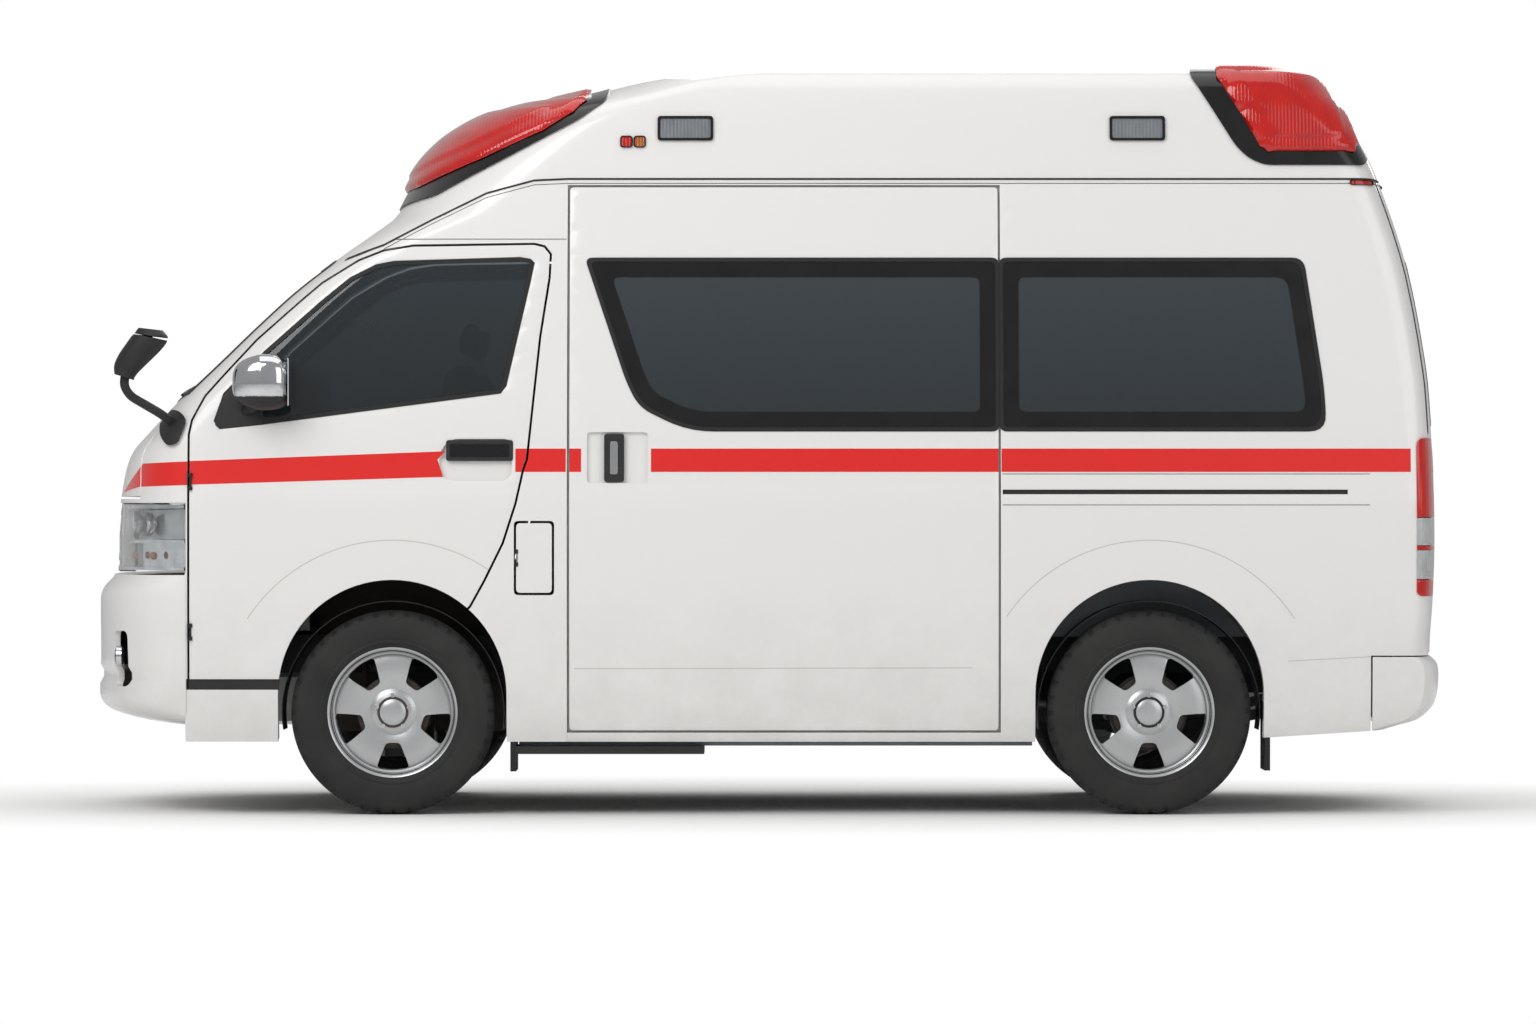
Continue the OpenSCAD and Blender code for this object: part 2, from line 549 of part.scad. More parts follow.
module hinges() color("gray") {
  for (side = [LEFT, RIGHT]) at_door_hinges(side) hinge_fixed();
  at_gate_hinges_down() hinge_fixed();
  at_bonnet_hinges_down() hinge_fixed();
  at_fuel_hinge() hinge_fixed(fuel_hinge_s);
}

// ---- running gear ----
hub_r = 53;
hub_face_y = half_track + 30;
module tyre() {
  s = tyre_w / 2;
  rotate([90, 0, 0]) rotate_extrude($fn = 96) polygon([
    [rim_r - 14, -rim_w / 2 + 10], [rim_r + 0.3, -rim_w / 2 + 2.4], [rim_r + 20, -rim_w / 2 - 4],
    [tyre_r - 72, -s], [tyre_r - 45, -s + 2], [tyre_r - 14, -s + 14], [tyre_r - 3, -s + 32],
    [tyre_r, -s + 50], [tyre_r, s - 50], [tyre_r - 3, s - 32], [tyre_r - 14, s - 14],
    [tyre_r - 45, s - 2], [tyre_r - 72, s], [rim_r + 20, rim_w / 2 + 4], [rim_r + 0.3, rim_w / 2 - 2.4],
    [rim_r - 14, rim_w / 2 - 10]]);
}
// wheel seen from outside along +Y, with its disc near the outer face
module rim() difference() {
  b = rim_w / 2;
  rotate([-90, 0, 0]) union() {
    rotate_extrude($fn = 96) polygon([[rim_r - 22, -b], [rim_r, -b], [rim_r, -b + 2], [rim_r - 14.3, -b + 10],
      [rim_r - 14.3, b - 10], [rim_r, b - 2], [rim_r, b], [rim_r - 22, b]]);
    difference() {
      translate([0, 0, 30]) cylinder(r = rim_r - 18, h = 22, $fn = 96);
      for (a = [0 : 72 : 288]) rotate([0, 0, a + 54]) translate([118, 0, 20]) linear_extrude(60)
        polygon([[-34, -26], [40, -46], [52, -30], [52, 30], [40, 46], [-34, 26]]);
    }
    translate([0, 0, 30]) cylinder(r = 72, h = 40, $fn = 64);
  }
  rotate([-90, 0, 0]) translate([0, 0, -b]) cylinder(r = hub_r + run, h = b + 62, $fn = 64);
}
module wheel_at(axle_x, side) translate([axle_x, side * half_track, tyre_r])
  mirror([0, side == LEFT ? 1 : 0, 0]) children();
module knuckle(side) color("dimgray") translate([front_axle_x, 0, tyre_r]) mirror([0, side == LEFT ? 1 : 0, 0]) {
  difference() {
    block(-32, 32, kingpin_y - 28, kingpin_y + 24, -arm_half_z + fit, arm_half_z - fit);
    for (m = [-1, 1]) translate([0, kingpin_y, m * (arm_half_z - 12)])
      cylinder(r = 14 + run, h = 60, center = true, $fn = 48);
  }
  // brake disc and hub
  translate([0, kingpin_y + 23, 0]) rotate([-90, 0, 0]) cylinder(r = 124, h = 20, $fn = 72);
  translate([0, kingpin_y + 23, 0]) rotate([-90, 0, 0]) cylinder(r = hub_r, h = hub_face_y + 28 - kingpin_y - 23, $fn = 64);
  // steering arm
  block(20, 120, kingpin_y - 28, kingpin_y - 8, -50, -30);
}
arm_half_z = 130;
module front_suspension() color("black") {
  both_sides() {
    for (m = [-1, 1]) translate([front_axle_x, 0, tyre_r + m * (arm_half_z + 12)]) {
      translate([0, 0, -12]) linear_extrude(24) polygon([[-118, rail_y + 10], [118, rail_y + 10],
        [34, kingpin_y + 20], [-34, kingpin_y + 20]]);
      translate([0, kingpin_y, m > 0 ? -40 : 0]) cylinder(r = 14, h = 40, $fn = 48);
    }
    block(front_axle_x - 118, front_axle_x + 118, rail_y - 60, rail_y + 10, tyre_r - arm_half_z - 24, 500.7);
  }
  // crossmember
  block(front_axle_x - 90, front_axle_x + 90, -rail_y + 60, rail_y - 60, tyre_r - arm_half_z - 24, 250);
}
module rear_axle() color("black") translate([rear_axle_x, 0, tyre_r]) {
  rotate([90, 0, 0]) cylinder(r = 42, h = 2 * (half_track - 60), center = true, $fn = 64);
  scale([1, 1, 1]) sphere(r = 118, $fn = 64);
  both_sides() {
    translate([0, half_track - 62, 0]) rotate([-90, 0, 0]) cylinder(r = 132, h = 62, $fn = 72);
    translate([0, half_track - 62, 0]) rotate([-90, 0, 0]) cylinder(r = hub_r, h = hub_face_y + 28 - half_track + 62, $fn = 64);
  }
}
spring_y = rail_y + rail_w / 2 + 22 + 34;
spring_half = 590;
spring_r = 1900;
spring_t = 34;
SPRING_END_X = [rear_axle_x - spring_half, rear_axle_x + spring_half];
spring_low_z = tyre_r - 42 - fit - spring_t;
spring_eye_z = spring_low_z + spring_r - sqrt(spring_r * spring_r - spring_half * spring_half) + spring_t / 2;
module leaf_springs() color("black") both_sides() translate([rear_axle_x, spring_y, 0]) {
  a = asin(spring_half / spring_r);
  difference() {
    translate([0, 30, spring_low_z + spring_r]) rotate([90, 0, 0]) linear_extrude(60) difference() {
      polygon(concat([for (i = [-12 : 12]) [spring_r * sin(a * i / 12), -spring_r * cos(a * i / 12)]],
        [for (i = [12 : -1 : -12]) [(spring_r - spring_t) * sin(a * i / 12), -(spring_r - spring_t) * cos(a * i / 12)]]));
    }
    for (m = [-1, 1]) translate([m * spring_half, 40, spring_eye_z]) rotate([90, 0, 0]) cylinder(r = 26, h = 80, $fn = 48);
  }
  for (m = [-1, 1]) translate([m * spring_half, 30, spring_eye_z]) rotate([90, 0, 0]) difference() {
    cylinder(r = 27, h = 60, $fn = 48);
    translate([0, 0, -1]) cylinder(r = 10 + run, h = 62, $fn = 48);
  }
}
module drive_shaft() color("dimgray") translate([rear_axle_x - 118.4, 0, tyre_r]) rotate([0, -88.2, 0])
  cylinder(r = 38, h = rear_axle_x - 118.4 + 694, $fn = 48);
// engine, with the gearbox behind it under the floor
module engine() color("dimgray") {
  block(-1560, -848.3, -270, 270, 262, 800);
  block(-850, -700, -150, 150, 300, 580);
}
module fuel_tank() color("black") block(-520, 280, 470, 740, 320, floor_z - floor_t - fit);
module exhaust() color("gray") {
  translate([-620, -560, 440]) rotate([0, 90, 0]) cylinder(r = 26, h = 560, $fn = 40);
  translate([-62, -560, 440]) rotate([0, 90, 0]) cylinder(r = 88, h = 560, $fn = 64);
  translate([496, -560, 440]) rotate([0, 90, 0]) cylinder(r = 26, h = 120, $fn = 40);
  for (x = [30, 330]) block(x, x + 30, -585, -535, 510, floor_z - floor_t - fit);
}
module spare_wheel() color("black") {
  translate([1735, 0, 398]) cylinder(r = 320, h = 150, $fn = 96);
  translate([1735, 0, 547.5]) cylinder(r = 30, h = floor_z - floor_t - fit - 547.5, $fn = 40);
}

// ---- cab and load space ----
module dashboard() color("dimgray") {
  difference() {
    front_cut([[-760, floor_z + 330], [760, floor_z + 330], [760, 1290], [680, 1320], [250, 1320],
      [200, 1300], [-680, 1300], [-760, 1270]], -1985.3, -1800);
    // room for the bonnet's upper corners as they swing
    both_sides() block(-2000, -1930, 560, 800, 1150, 1400);
  }
  block(-1830, -1740, -170, 170, floor_z + 170, 1240);
  block(-1985.3, -1870, -700, 700, floor_z + 0.3, floor_z + 331);
  // column shroud, with a bore for the steering shaft
  difference() {
    steering_frame() translate([0, 0, -250]) cylinder(r = 36, h = 205, $fn = 48);
    steering_frame() translate([0, 0, -150]) cylinder(r = 12 + run, h = 150, $fn = 48);
  }
}
wheel_tilt = 40;
steer_y = 410;
module steering_frame() translate([-1640, steer_y, 1300]) rotate([0, wheel_tilt, 0]) children();
module steering_wheel() color("black") steering_frame() {
  rotate_extrude($fn = 72) translate([186, 0]) circle(r = 15, $fn = 24);
  cylinder(r = 48, h = 34, center = true, $fn = 48);
  for (a = [0, 120, 240]) rotate([0, 0, a + 60]) translate([40, -14, -9]) cube([136, 28, 16]);
  translate([0, 0, -140]) cylinder(r = 12, h = 140, $fn = 48);
}
module cab_seats() color("dimgray") for (y = [-410, 410]) {
  block(-1560, -1090, y - 230, y + 230, 850.3, 985);
  side_cut([[-1200, 985], [-1090, 985], [-985, 1560], [-1085, 1560]], y - 220, y + 220);
  side_cut([[-1075, 1560], [-1005, 1560], [-985, 1690], [-1050, 1690]], y - 130, y + 130);
}
module stretcher() color("orange") {
  block(-150, 1780, -300, 260, floor_z + fit, 760);
  block(-130, 1760, -280, 240, 800, 880);
  for (x = [0, 1500]) block(x, x + 60, -230, 190, 759, 801);
}

union() { chassis_frame(); bumper_brackets(); }
floor();
cab_shell();
left_side_panel();
right_side_panel();
roof_cap();
bonnet();
grille();
front_bumper();
rear_bumper();
headlamps();
tail_lamps();
front_door(LEFT);  // left_front_door
door_glass(LEFT);  // left_door_glass
door_mirror(LEFT);  // left_door_mirror
front_door(RIGHT);  // right_front_door
door_glass(RIGHT);  // right_door_glass
door_mirror(RIGHT);  // right_door_mirror
sliding_door();
side_windows();
windscreen();
tailgate();
tailgate_glass();
beacon_bases();
beacon_lenses();
under_mirror();
fuel_lid();
hinges();
side_step();
mud_flaps();
engine();
fuel_tank();
exhaust();
spare_wheel();
rear_axle();
leaf_springs();
drive_shaft();
front_suspension();
knuckle(LEFT);  // left_knuckle
knuckle(RIGHT);  // right_knuckle
color("black") wheel_at(front_axle_x, LEFT) tyre();  // front_left_tyre
color("silver") wheel_at(front_axle_x, LEFT) rim();  // front_left_rim
color("black") wheel_at(front_axle_x, RIGHT) tyre();  // front_right_tyre
color("silver") wheel_at(front_axle_x, RIGHT) rim();  // front_right_rim
color("black") wheel_at(rear_axle_x, LEFT) tyre();  // rear_left_tyre
color("silver") wheel_at(rear_axle_x, LEFT) rim();  // rear_left_rim
color("black") wheel_at(rear_axle_x, RIGHT) tyre();  // rear_right_tyre
color("silver") wheel_at(rear_axle_x, RIGHT) rim();  // rear_right_rim
dashboard();
steering_wheel();
cab_seats();
stretcher();
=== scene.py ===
import json
import math

import bpy
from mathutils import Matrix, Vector

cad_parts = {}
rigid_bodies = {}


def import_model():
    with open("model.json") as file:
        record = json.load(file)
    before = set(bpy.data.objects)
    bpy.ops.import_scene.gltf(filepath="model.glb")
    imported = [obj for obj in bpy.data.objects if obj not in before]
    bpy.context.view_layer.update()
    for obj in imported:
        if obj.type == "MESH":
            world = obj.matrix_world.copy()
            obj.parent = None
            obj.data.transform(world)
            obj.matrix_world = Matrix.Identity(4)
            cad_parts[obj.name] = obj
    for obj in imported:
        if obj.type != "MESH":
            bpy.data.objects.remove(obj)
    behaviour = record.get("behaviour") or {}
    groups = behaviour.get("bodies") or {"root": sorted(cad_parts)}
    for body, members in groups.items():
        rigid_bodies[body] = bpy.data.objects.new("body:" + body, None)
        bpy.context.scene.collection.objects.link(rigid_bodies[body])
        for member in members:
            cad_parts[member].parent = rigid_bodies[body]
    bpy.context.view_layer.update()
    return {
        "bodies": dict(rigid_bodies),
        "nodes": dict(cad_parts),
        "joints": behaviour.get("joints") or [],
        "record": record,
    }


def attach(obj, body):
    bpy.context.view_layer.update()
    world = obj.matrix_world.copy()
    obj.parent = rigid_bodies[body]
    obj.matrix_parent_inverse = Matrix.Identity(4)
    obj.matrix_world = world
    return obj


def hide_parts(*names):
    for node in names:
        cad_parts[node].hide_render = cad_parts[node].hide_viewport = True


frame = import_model()
mm = 0.001
far = 3000  # millimetres, past both ends and the roof
beside = 1500  # millimetres, past both sides
sideWord = {-1: "left", 1: "right"}
rimWidth = 0.0015  # how far a folded panel edge is rounded


# small tools
def deselectAll():
    if bpy.context.object and bpy.context.object.mode != 'OBJECT':
        bpy.ops.object.mode_set(mode='OBJECT')
    bpy.ops.object.select_all(action='DESELECT')


def makeActive(obj):
    deselectAll()
    obj.select_set(True)
    bpy.context.view_layer.objects.active = obj


def settle(obj, name):  # place and turn go into the mesh
    makeActive(obj)
    obj.name = name
    obj.data.name = name
    bpy.ops.object.transform_apply(location=True, rotation=True, scale=True)
    return obj


def useModifier(obj, kind, **settings):
    makeActive(obj)
    bpy.ops.object.modifier_add(type=kind)
    modifier = obj.modifiers[-1]
    for key, value in settings.items():
        setattr(modifier, key, value)
    bpy.ops.object.modifier_apply(modifier=modifier.name)


def cutWith(obj, cutter, operation):
    useModifier(obj, 'BOOLEAN', object=cutter, operation=operation, solver='MANIFOLD')
    bpy.data.objects.remove(cutter, do_unlink=True)
    return obj


def tidyNormals(obj):
    makeActive(obj)
    bpy.ops.object.mode_set(mode='EDIT')
    bpy.ops.mesh.select_all(action='SELECT')
    bpy.ops.mesh.remove_doubles(threshold=0.00005)
    bpy.ops.mesh.normals_make_consistent(inside=False)
    bpy.ops.object.mode_set(mode='OBJECT')


def smooth(obj, degrees=32):
    makeActive(obj)
    bpy.ops.object.shade_smooth_by_angle(angle=math.radians(degrees))


def copyOf(obj, name):
    copy = obj.copy()
    copy.data = obj.data.copy()
    copy.name = name
    copy.data.name = name
    bpy.context.collection.objects.link(copy)
    return copy


def mirrored(obj, name):  # the same piece on the other side of the vehicle
    copy = copyOf(obj, name)
    makeActive(copy)
    bpy.ops.object.mode_set(mode='EDIT')
    bpy.ops.mesh.select_all(action='SELECT')
    bpy.ops.transform.resize(value=(1, -1, 1), center_override=(0, 0, 0))
    bpy.ops.mesh.normals_make_consistent(inside=False)
    bpy.ops.object.mode_set(mode='OBJECT')
    return copy


def joinAll(name, pieces):
    makeActive(pieces[0])
    for piece in pieces[1:]:
        piece.select_set(True)
    if len(pieces) > 1:
        bpy.ops.object.join()
    return settle(bpy.context.object, name)


def dress(obj, body, material, *replaced):
    obj.data.materials.clear()
    obj.data.materials.append(material)
    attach(obj, body)
    if replaced:
        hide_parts(*replaced)
    return obj


def finishPiece(obj, body, material, *replaced, rim=0, angle=32):
    if rim:
        softenRim(obj, rim)
    smooth(obj, angle)
    return dress(obj, body, material, *replaced)


def boxPiece(name, low, high, bevel=0.002, segments=2):
    size = [high[i] - low[i] for i in range(3)]
    centre = [(high[i] + low[i]) / 2 for i in range(3)]
    deselectAll()
    bpy.ops.mesh.primitive_cube_add(size=1, location=centre, scale=size)
    obj = settle(bpy.context.object, name)
    if bevel:
        useModifier(obj, 'BEVEL', width=bevel, segments=segments, limit_method='ANGLE')
    return obj


def rodPiece(name, start, end, radius, vertices=24, bevel=0.0):
    along = [end[i] - start[i] for i in range(3)]
    length = math.sqrt(sum(c * c for c in along))
    deselectAll()
    bpy.ops.mesh.primitive_cylinder_add(
        vertices=vertices, radius=radius, depth=length,
        location=[(start[i] + end[i]) / 2 for i in range(3)],
        rotation=(0, math.acos(along[2] / length), math.atan2(along[1], along[0])))
    obj = settle(bpy.context.object, name)
    if bevel:
        useModifier(obj, 'BEVEL', width=bevel, segments=2, limit_method='ANGLE', angle_limit=1.0)
    return obj


def prism(name, outline, view, low, high):
    # a flat outline pushed through the vehicle: "side" is drawn in X and Z, "front" in Y and Z
    deselectAll()
    bpy.ops.mesh.primitive_circle_add(vertices=len(outline), radius=1, fill_type='NGON')
    obj = bpy.context.object
    obj.name = name
    for vertex, (a, b) in zip(obj.data.vertices, outline):
        vertex.co = (a * mm, low, b * mm) if view == "side" else (low, a * mm, b * mm)
    push = (0, high - low, 0) if view == "side" else (high - low, 0, 0)
    bpy.ops.object.mode_set(mode='EDIT')
    bpy.ops.mesh.select_all(action='SELECT')
    bpy.ops.mesh.extrude_region_move(TRANSFORM_OT_translate={"value": push})
    bpy.ops.mesh.select_all(action='SELECT')
    bpy.ops.mesh.normals_make_consistent(inside=False)
    bpy.ops.object.mode_set(mode='OBJECT')
    return obj


def rounded(corners, radius, steps=5):
    # a polygon with its corners turned; a corner may carry its own radius as a third number
    points = []
    count = len(corners)
    for i in range(count):
        before, corner, after = corners[i - 1], corners[i], corners[(i + 1) % count]
        reach = corner[2] if len(corner) > 2 else radius
        back = (before[0] - corner[0], before[1] - corner[1])
        ahead = (after[0] - corner[0], after[1] - corner[1])
        backLength, aheadLength = math.hypot(*back), math.hypot(*ahead)
        cut = min(reach, backLength * 0.48, aheadLength * 0.48)
        if cut < 0.5:
            points.append((corner[0], corner[1]))
            continue
        start = (corner[0] + back[0] / backLength * cut, corner[1] + back[1] / backLength * cut)
        end = (corner[0] + ahead[0] / aheadLength * cut, corner[1] + ahead[1] / aheadLength * cut)
        for k in range(steps + 1):
            t = k / steps
            points.append(((1 - t) ** 2 * start[0] + 2 * t * (1 - t) * corner[0] + t * t * end[0],
                           (1 - t) ** 2 * start[1] + 2 * t * (1 - t) * corner[1] + t * t * end[1]))
    return points


def grown(outline, amount):  # the outline moved outwards by so many millimetres
    area = sum(a[0] * b[1] - b[0] * a[1] for a, b in zip(outline, outline[1:] + outline[:1]))
    turn = 1 if area > 0 else -1
    result = []
    count = len(outline)
    for i in range(count):
        a, b, c = outline[i - 1], outline[i], outline[(i + 1) % count]
        n1 = (b[1] - a[1], a[0] - b[0])
        n2 = (c[1] - b[1], b[0] - c[0])
        l1, l2 = math.hypot(*n1) or 1, math.hypot(*n2) or 1
        n = (n1[0] / l1 + n2[0] / l2, n1[1] / l1 + n2[1] / l2)
        length = math.hypot(*n) or 1
        sharp = max(length / 2, 0.5)
        result.append((b[0] + turn * n[0] / length * amount / sharp,
                       b[1] + turn * n[1] / length * amount / sharp) + tuple(b[2:]))
    return result


# colours and materials
def hexColour(code):
    channels = [int(code[i:i + 2], 16) / 255 for i in (1, 3, 5)]
    return [c / 12.92 if c <= 0.04045 else ((c + 0.055) / 1.055) ** 2.4 for c in channels] + [1.0]


def addNode(tree, kind, settings=None, **links):
    # settings fill attributes or sockets by name; links join sockets to other nodes' outputs
    node = tree.nodes.new(kind)
    for key, value in (settings or {}).items():
        if isinstance(key, int) or key in node.inputs:
            node.inputs[key].default_value = value
        else:
            setattr(node, key, value)
    for key, source in links.items():
        byNumber = key.startswith("in") and key[2:].isdigit()
        tree.links.new(node.inputs[int(key[2:]) if byNumber else key.replace("_", " ")], source)
    return node


def newMaterial(name, **sockets):
    material = bpy.data.materials.new(name)
    material.use_nodes = True
    shader = material.node_tree.nodes["Principled BSDF"]
    for key, value in sockets.items():
        shader.inputs[key.replace("_", " ")].default_value = value
    return material, material.node_tree, shader


def paintMaterial(name, code):
    # two-pack body paint, sprayed and clear-coated: even colour, a trace of orange peel, darker and a little
    # browner in noisy patches towards the bottom
    material, tree, shader = newMaterial(name, Roughness=0.32, Coat_Weight=0.6, Coat_Roughness=0.05)
    place = addNode(tree, 'ShaderNodeTexCoord')
    split = addNode(tree, 'ShaderNodeSeparateXYZ', in0=place.outputs['Object'])
    film = addNode(tree, 'ShaderNodeTexNoise', {'Scale': 7.0, 'Detail': 6.0, 'Roughness': 0.62},
                   Vector=place.outputs['Object'])
    # the colour turns darker and a little browner from 0.95 m down to 0.22 m, in noisy patches
    height = addNode(tree, 'ShaderNodeMapRange', {'From Min': 0.95, 'From Max': 0.22},
                     Value=split.outputs['Z'])
    lowerDarkening = addNode(tree, 'ShaderNodeMath', {'operation': 'MULTIPLY'}, in0=height.outputs[0],
                   in1=film.outputs['Fac'])
    clean = hexColour(code)
    lowerTone = [c * 0.72 + d * 0.1 for c, d in zip(clean, hexColour("#8d8474"))]
    share = addNode(tree, 'ShaderNodeMapRange', {'From Min': 0.12, 'From Max': 0.95}, Value=lowerDarkening.outputs[0])
    tint = addNode(tree, 'ShaderNodeMix', {'data_type': 'RGBA', 6: clean, 7: lowerTone[:3] + [1]},
                   in0=share.outputs[0])
    tree.links.new(shader.inputs['Base Color'], tint.outputs[2])
    rough = addNode(tree, 'ShaderNodeMapRange', {'To Min': 0.27, 'To Max': 0.42}, Value=film.outputs['Fac'])
    tree.links.new(shader.inputs['Roughness'], rough.outputs[0])
    peel = addNode(tree, 'ShaderNodeTexNoise', {'Scale': 420.0, 'Detail': 2.0},
                   Vector=place.outputs['Object'])
    bump = addNode(tree, 'ShaderNodeBump', {'Strength': 0.035, 'Distance': 0.0006},
                   Height=peel.outputs['Fac'])
    tree.links.new(shader.inputs['Normal'], bump.outputs[0])
    return material


def grainedMaterial(name, low, high, scale, roughness, depth=0.0004, strength=0.4):
    # moulded plastic or rubber with a pebble grain; the tone varies a little with handling
    material, tree, shader = newMaterial(name, Roughness=roughness)
    place = addNode(tree, 'ShaderNodeTexCoord')
    grain = addNode(tree, 'ShaderNodeTexVoronoi', {'Scale': scale}, Vector=place.outputs['Object'])
    wear = addNode(tree, 'ShaderNodeTexNoise', {'Scale': 9.0, 'Detail': 5.0},
                   Vector=place.outputs['Object'])
    share = addNode(tree, 'ShaderNodeMapRange', {'From Min': 0.3, 'From Max': 0.75},
                    Value=wear.outputs['Fac'])
    tint = addNode(tree, 'ShaderNodeMix', {'data_type': 'RGBA', 6: hexColour(low), 7: hexColour(high)},
                   in0=share.outputs[0])
    tree.links.new(shader.inputs['Base Color'], tint.outputs[2])
    rough = addNode(tree, 'ShaderNodeMapRange', {'To Min': roughness - 0.08, 'To Max': roughness + 0.1},
                    Value=wear.outputs['Fac'])
    tree.links.new(shader.inputs['Roughness'], rough.outputs[0])
    bump = addNode(tree, 'ShaderNodeBump', {'Strength': strength, 'Distance': depth},
                   Height=grain.outputs['Distance'])
    tree.links.new(shader.inputs['Normal'], bump.outputs[0])
    return material


def metalMaterial(name, code, roughness, scale=60.0, spread=0.1, metallic=1.0, strength=0.1):
    # bare, plated or lacquered metal; fine blotches break the reflection up
    material, tree, shader = newMaterial(name, Metallic=metallic, Roughness=roughness)
    place = addNode(tree, 'ShaderNodeTexCoord')
    blotch = addNode(tree, 'ShaderNodeTexNoise', {'Scale': scale, 'Detail': 8.0, 'Roughness': 0.65},
                     Vector=place.outputs['Object'])
    full = hexColour(code)
    share = addNode(tree, 'ShaderNodeMapRange', {'From Min': 0.25, 'From Max': 0.8},
                    Value=blotch.outputs['Fac'])
    tint = addNode(tree, 'ShaderNodeMix', {'data_type': 'RGBA', 6: [c * 0.82 for c in full[:3]] + [1],
                                           7: full}, in0=share.outputs[0])
    tree.links.new(shader.inputs['Base Color'], tint.outputs[2])
    rough = addNode(tree, 'ShaderNodeMapRange',
                    {'To Min': max(roughness - spread, 0.02), 'To Max': roughness + spread},
                    Value=blotch.outputs['Fac'])
    tree.links.new(shader.inputs['Roughness'], rough.outputs[0])
    bump = addNode(tree, 'ShaderNodeBump', {'Strength': strength, 'Distance': 0.0005},
                   Height=blotch.outputs['Fac'])
    tree.links.new(shader.inputs['Normal'], bump.outputs[0])
    return material


def lensMaterial(name, code, roughness, transmission, pitch, depth=0.0015, direction='X'):
    # injection-moulded acrylic lens with optical ribs on its back
    material, tree, shader = newMaterial(name, Roughness=roughness, Transmission_Weight=transmission,
                                         IOR=1.49,
                                         Coat_Weight=0.5, Coat_Roughness=0.03)
    place = addNode(tree, 'ShaderNodeTexCoord')
    ribs = addNode(tree, 'ShaderNodeTexWave', {'Scale': 0.314 / pitch, 'bands_direction': direction},
                   Vector=place.outputs['Object'])
    depthNoise = addNode(tree, 'ShaderNodeTexNoise', {'Scale': 18.0, 'Detail': 3.0},
                         Vector=place.outputs['Object'])
    full = hexColour(code)
    share = addNode(tree, 'ShaderNodeMapRange', {'From Min': 0.3, 'From Max': 0.75},
                    Value=depthNoise.outputs['Fac'])
    tint = addNode(tree, 'ShaderNodeMix', {'data_type': 'RGBA', 6: [c * 0.78 for c in full[:3]] + [1],
                                           7: full}, in0=share.outputs[0])
    tree.links.new(shader.inputs['Base Color'], tint.outputs[2])
    bump = addNode(tree, 'ShaderNodeBump', {'Strength': 0.35, 'Distance': depth},
                   Height=ribs.outputs['Fac'])
    tree.links.new(shader.inputs['Normal'], bump.outputs[0])
    return material


def glassMaterial(name, code, transmission, roughness=0.02):
    # float glass tinted in the melt, with painted light that keeps it darker low down and lighter towards
    # the top; a faint waviness from tempering
    material, tree, shader = newMaterial(name, Roughness=roughness, Transmission_Weight=transmission,
                                         IOR=1.5)
    place = addNode(tree, 'ShaderNodeTexCoord')
    split = addNode(tree, 'ShaderNodeSeparateXYZ', in0=place.outputs['Object'])
    # painted light: the tint is darkened below 1.3 m and reaches full colour by 1.95 m, like reflected light
    # from above
    up = addNode(tree, 'ShaderNodeMapRange', {'From Min': 1.3, 'From Max': 1.95}, Value=split.outputs['Z'])
    full = hexColour(code)
    share = addNode(tree, 'ShaderNodeMapRange', {'From Min': 0.0, 'From Max': 1.0}, Value=up.outputs[0])
    tint = addNode(tree, 'ShaderNodeMix', {'data_type': 'RGBA', 6: [c * 0.55 for c in full[:3]] + [1],
                                           7: full}, in0=share.outputs[0])
    tree.links.new(shader.inputs['Base Color'], tint.outputs[2])
    wave = addNode(tree, 'ShaderNodeTexNoise', {'Scale': 3.0, 'Detail': 1.0},
                   Vector=place.outputs['Object'])
    bump = addNode(tree, 'ShaderNodeBump', {'Strength': 0.05, 'Distance': 0.002},
                   Height=wave.outputs['Fac'])
    tree.links.new(shader.inputs['Normal'], bump.outputs[0])
    return material


whitePaint = paintMaterial("whitePolyurethanePaintSprayed", "#eceae8")
redFilm = paintMaterial("redVinylFilmRolledOn", "#e4130b")
blackPlastic = grainedMaterial("blackPolypropyleneMouldedGrain", "#171716", "#262526", 900.0, 0.55)
glossBlack = grainedMaterial("blackAbsMouldedPolished", "#0d0d0e", "#151517", 60.0, 0.16, 0.0001, 0.05)
darkTrim = grainedMaterial("greyAbsMouldedLeatherGrain", "#45484b", "#5a5d60", 700.0, 0.6)
lightTrim = grainedMaterial("paleGreyLaminateWipedClean", "#b9bcbd", "#cdcfce", 300.0, 0.45, 0.0002, 0.15)
tyreRubber = grainedMaterial("tyreRubberCuredInMould", "#171717", "#2b2b2a", 1100.0, 0.72)
sealRubber = grainedMaterial("epdmSealExtruded", "#0e0e0e", "#191919", 600.0, 0.62)
floorSheet = grainedMaterial("greyVinylFloorSheetStudded", "#5c6165", "#6e7478", 160.0, 0.5, 0.001, 0.5)
chromePlate = metalMaterial("chromePlateOnAbs", "#dcdde0", 0.09, 12.0, 0.04, strength=0.03)
silverLacquer = metalMaterial("silverLacquerOnAlloySprayed", "#c9cbcc", 0.33, 220.0, 0.05, 0.75, 0.08)
greySteel = metalMaterial("rolledSteelOiled", "#77787a", 0.42)
castIron = metalMaterial("castIronSandCast", "#5b544e", 0.62, 140.0, 0.12, 0.8, 0.6)
blackSteel = metalMaterial("blackChassisPaintDipped", "#232426", 0.5, 40.0, 0.12, 0.15, 0.3)
exhaustSteel = metalMaterial("aluminisedSteelHeatStained", "#8d857a", 0.45, 25.0, 0.15, 0.9, 0.3)
tintedGlass = glassMaterial("greySmokedTemperedGlass", "#636d73", 0.86)
privacyGlass = glassMaterial("greyPrivacyGlassTempered", "#525c63", 0.5)
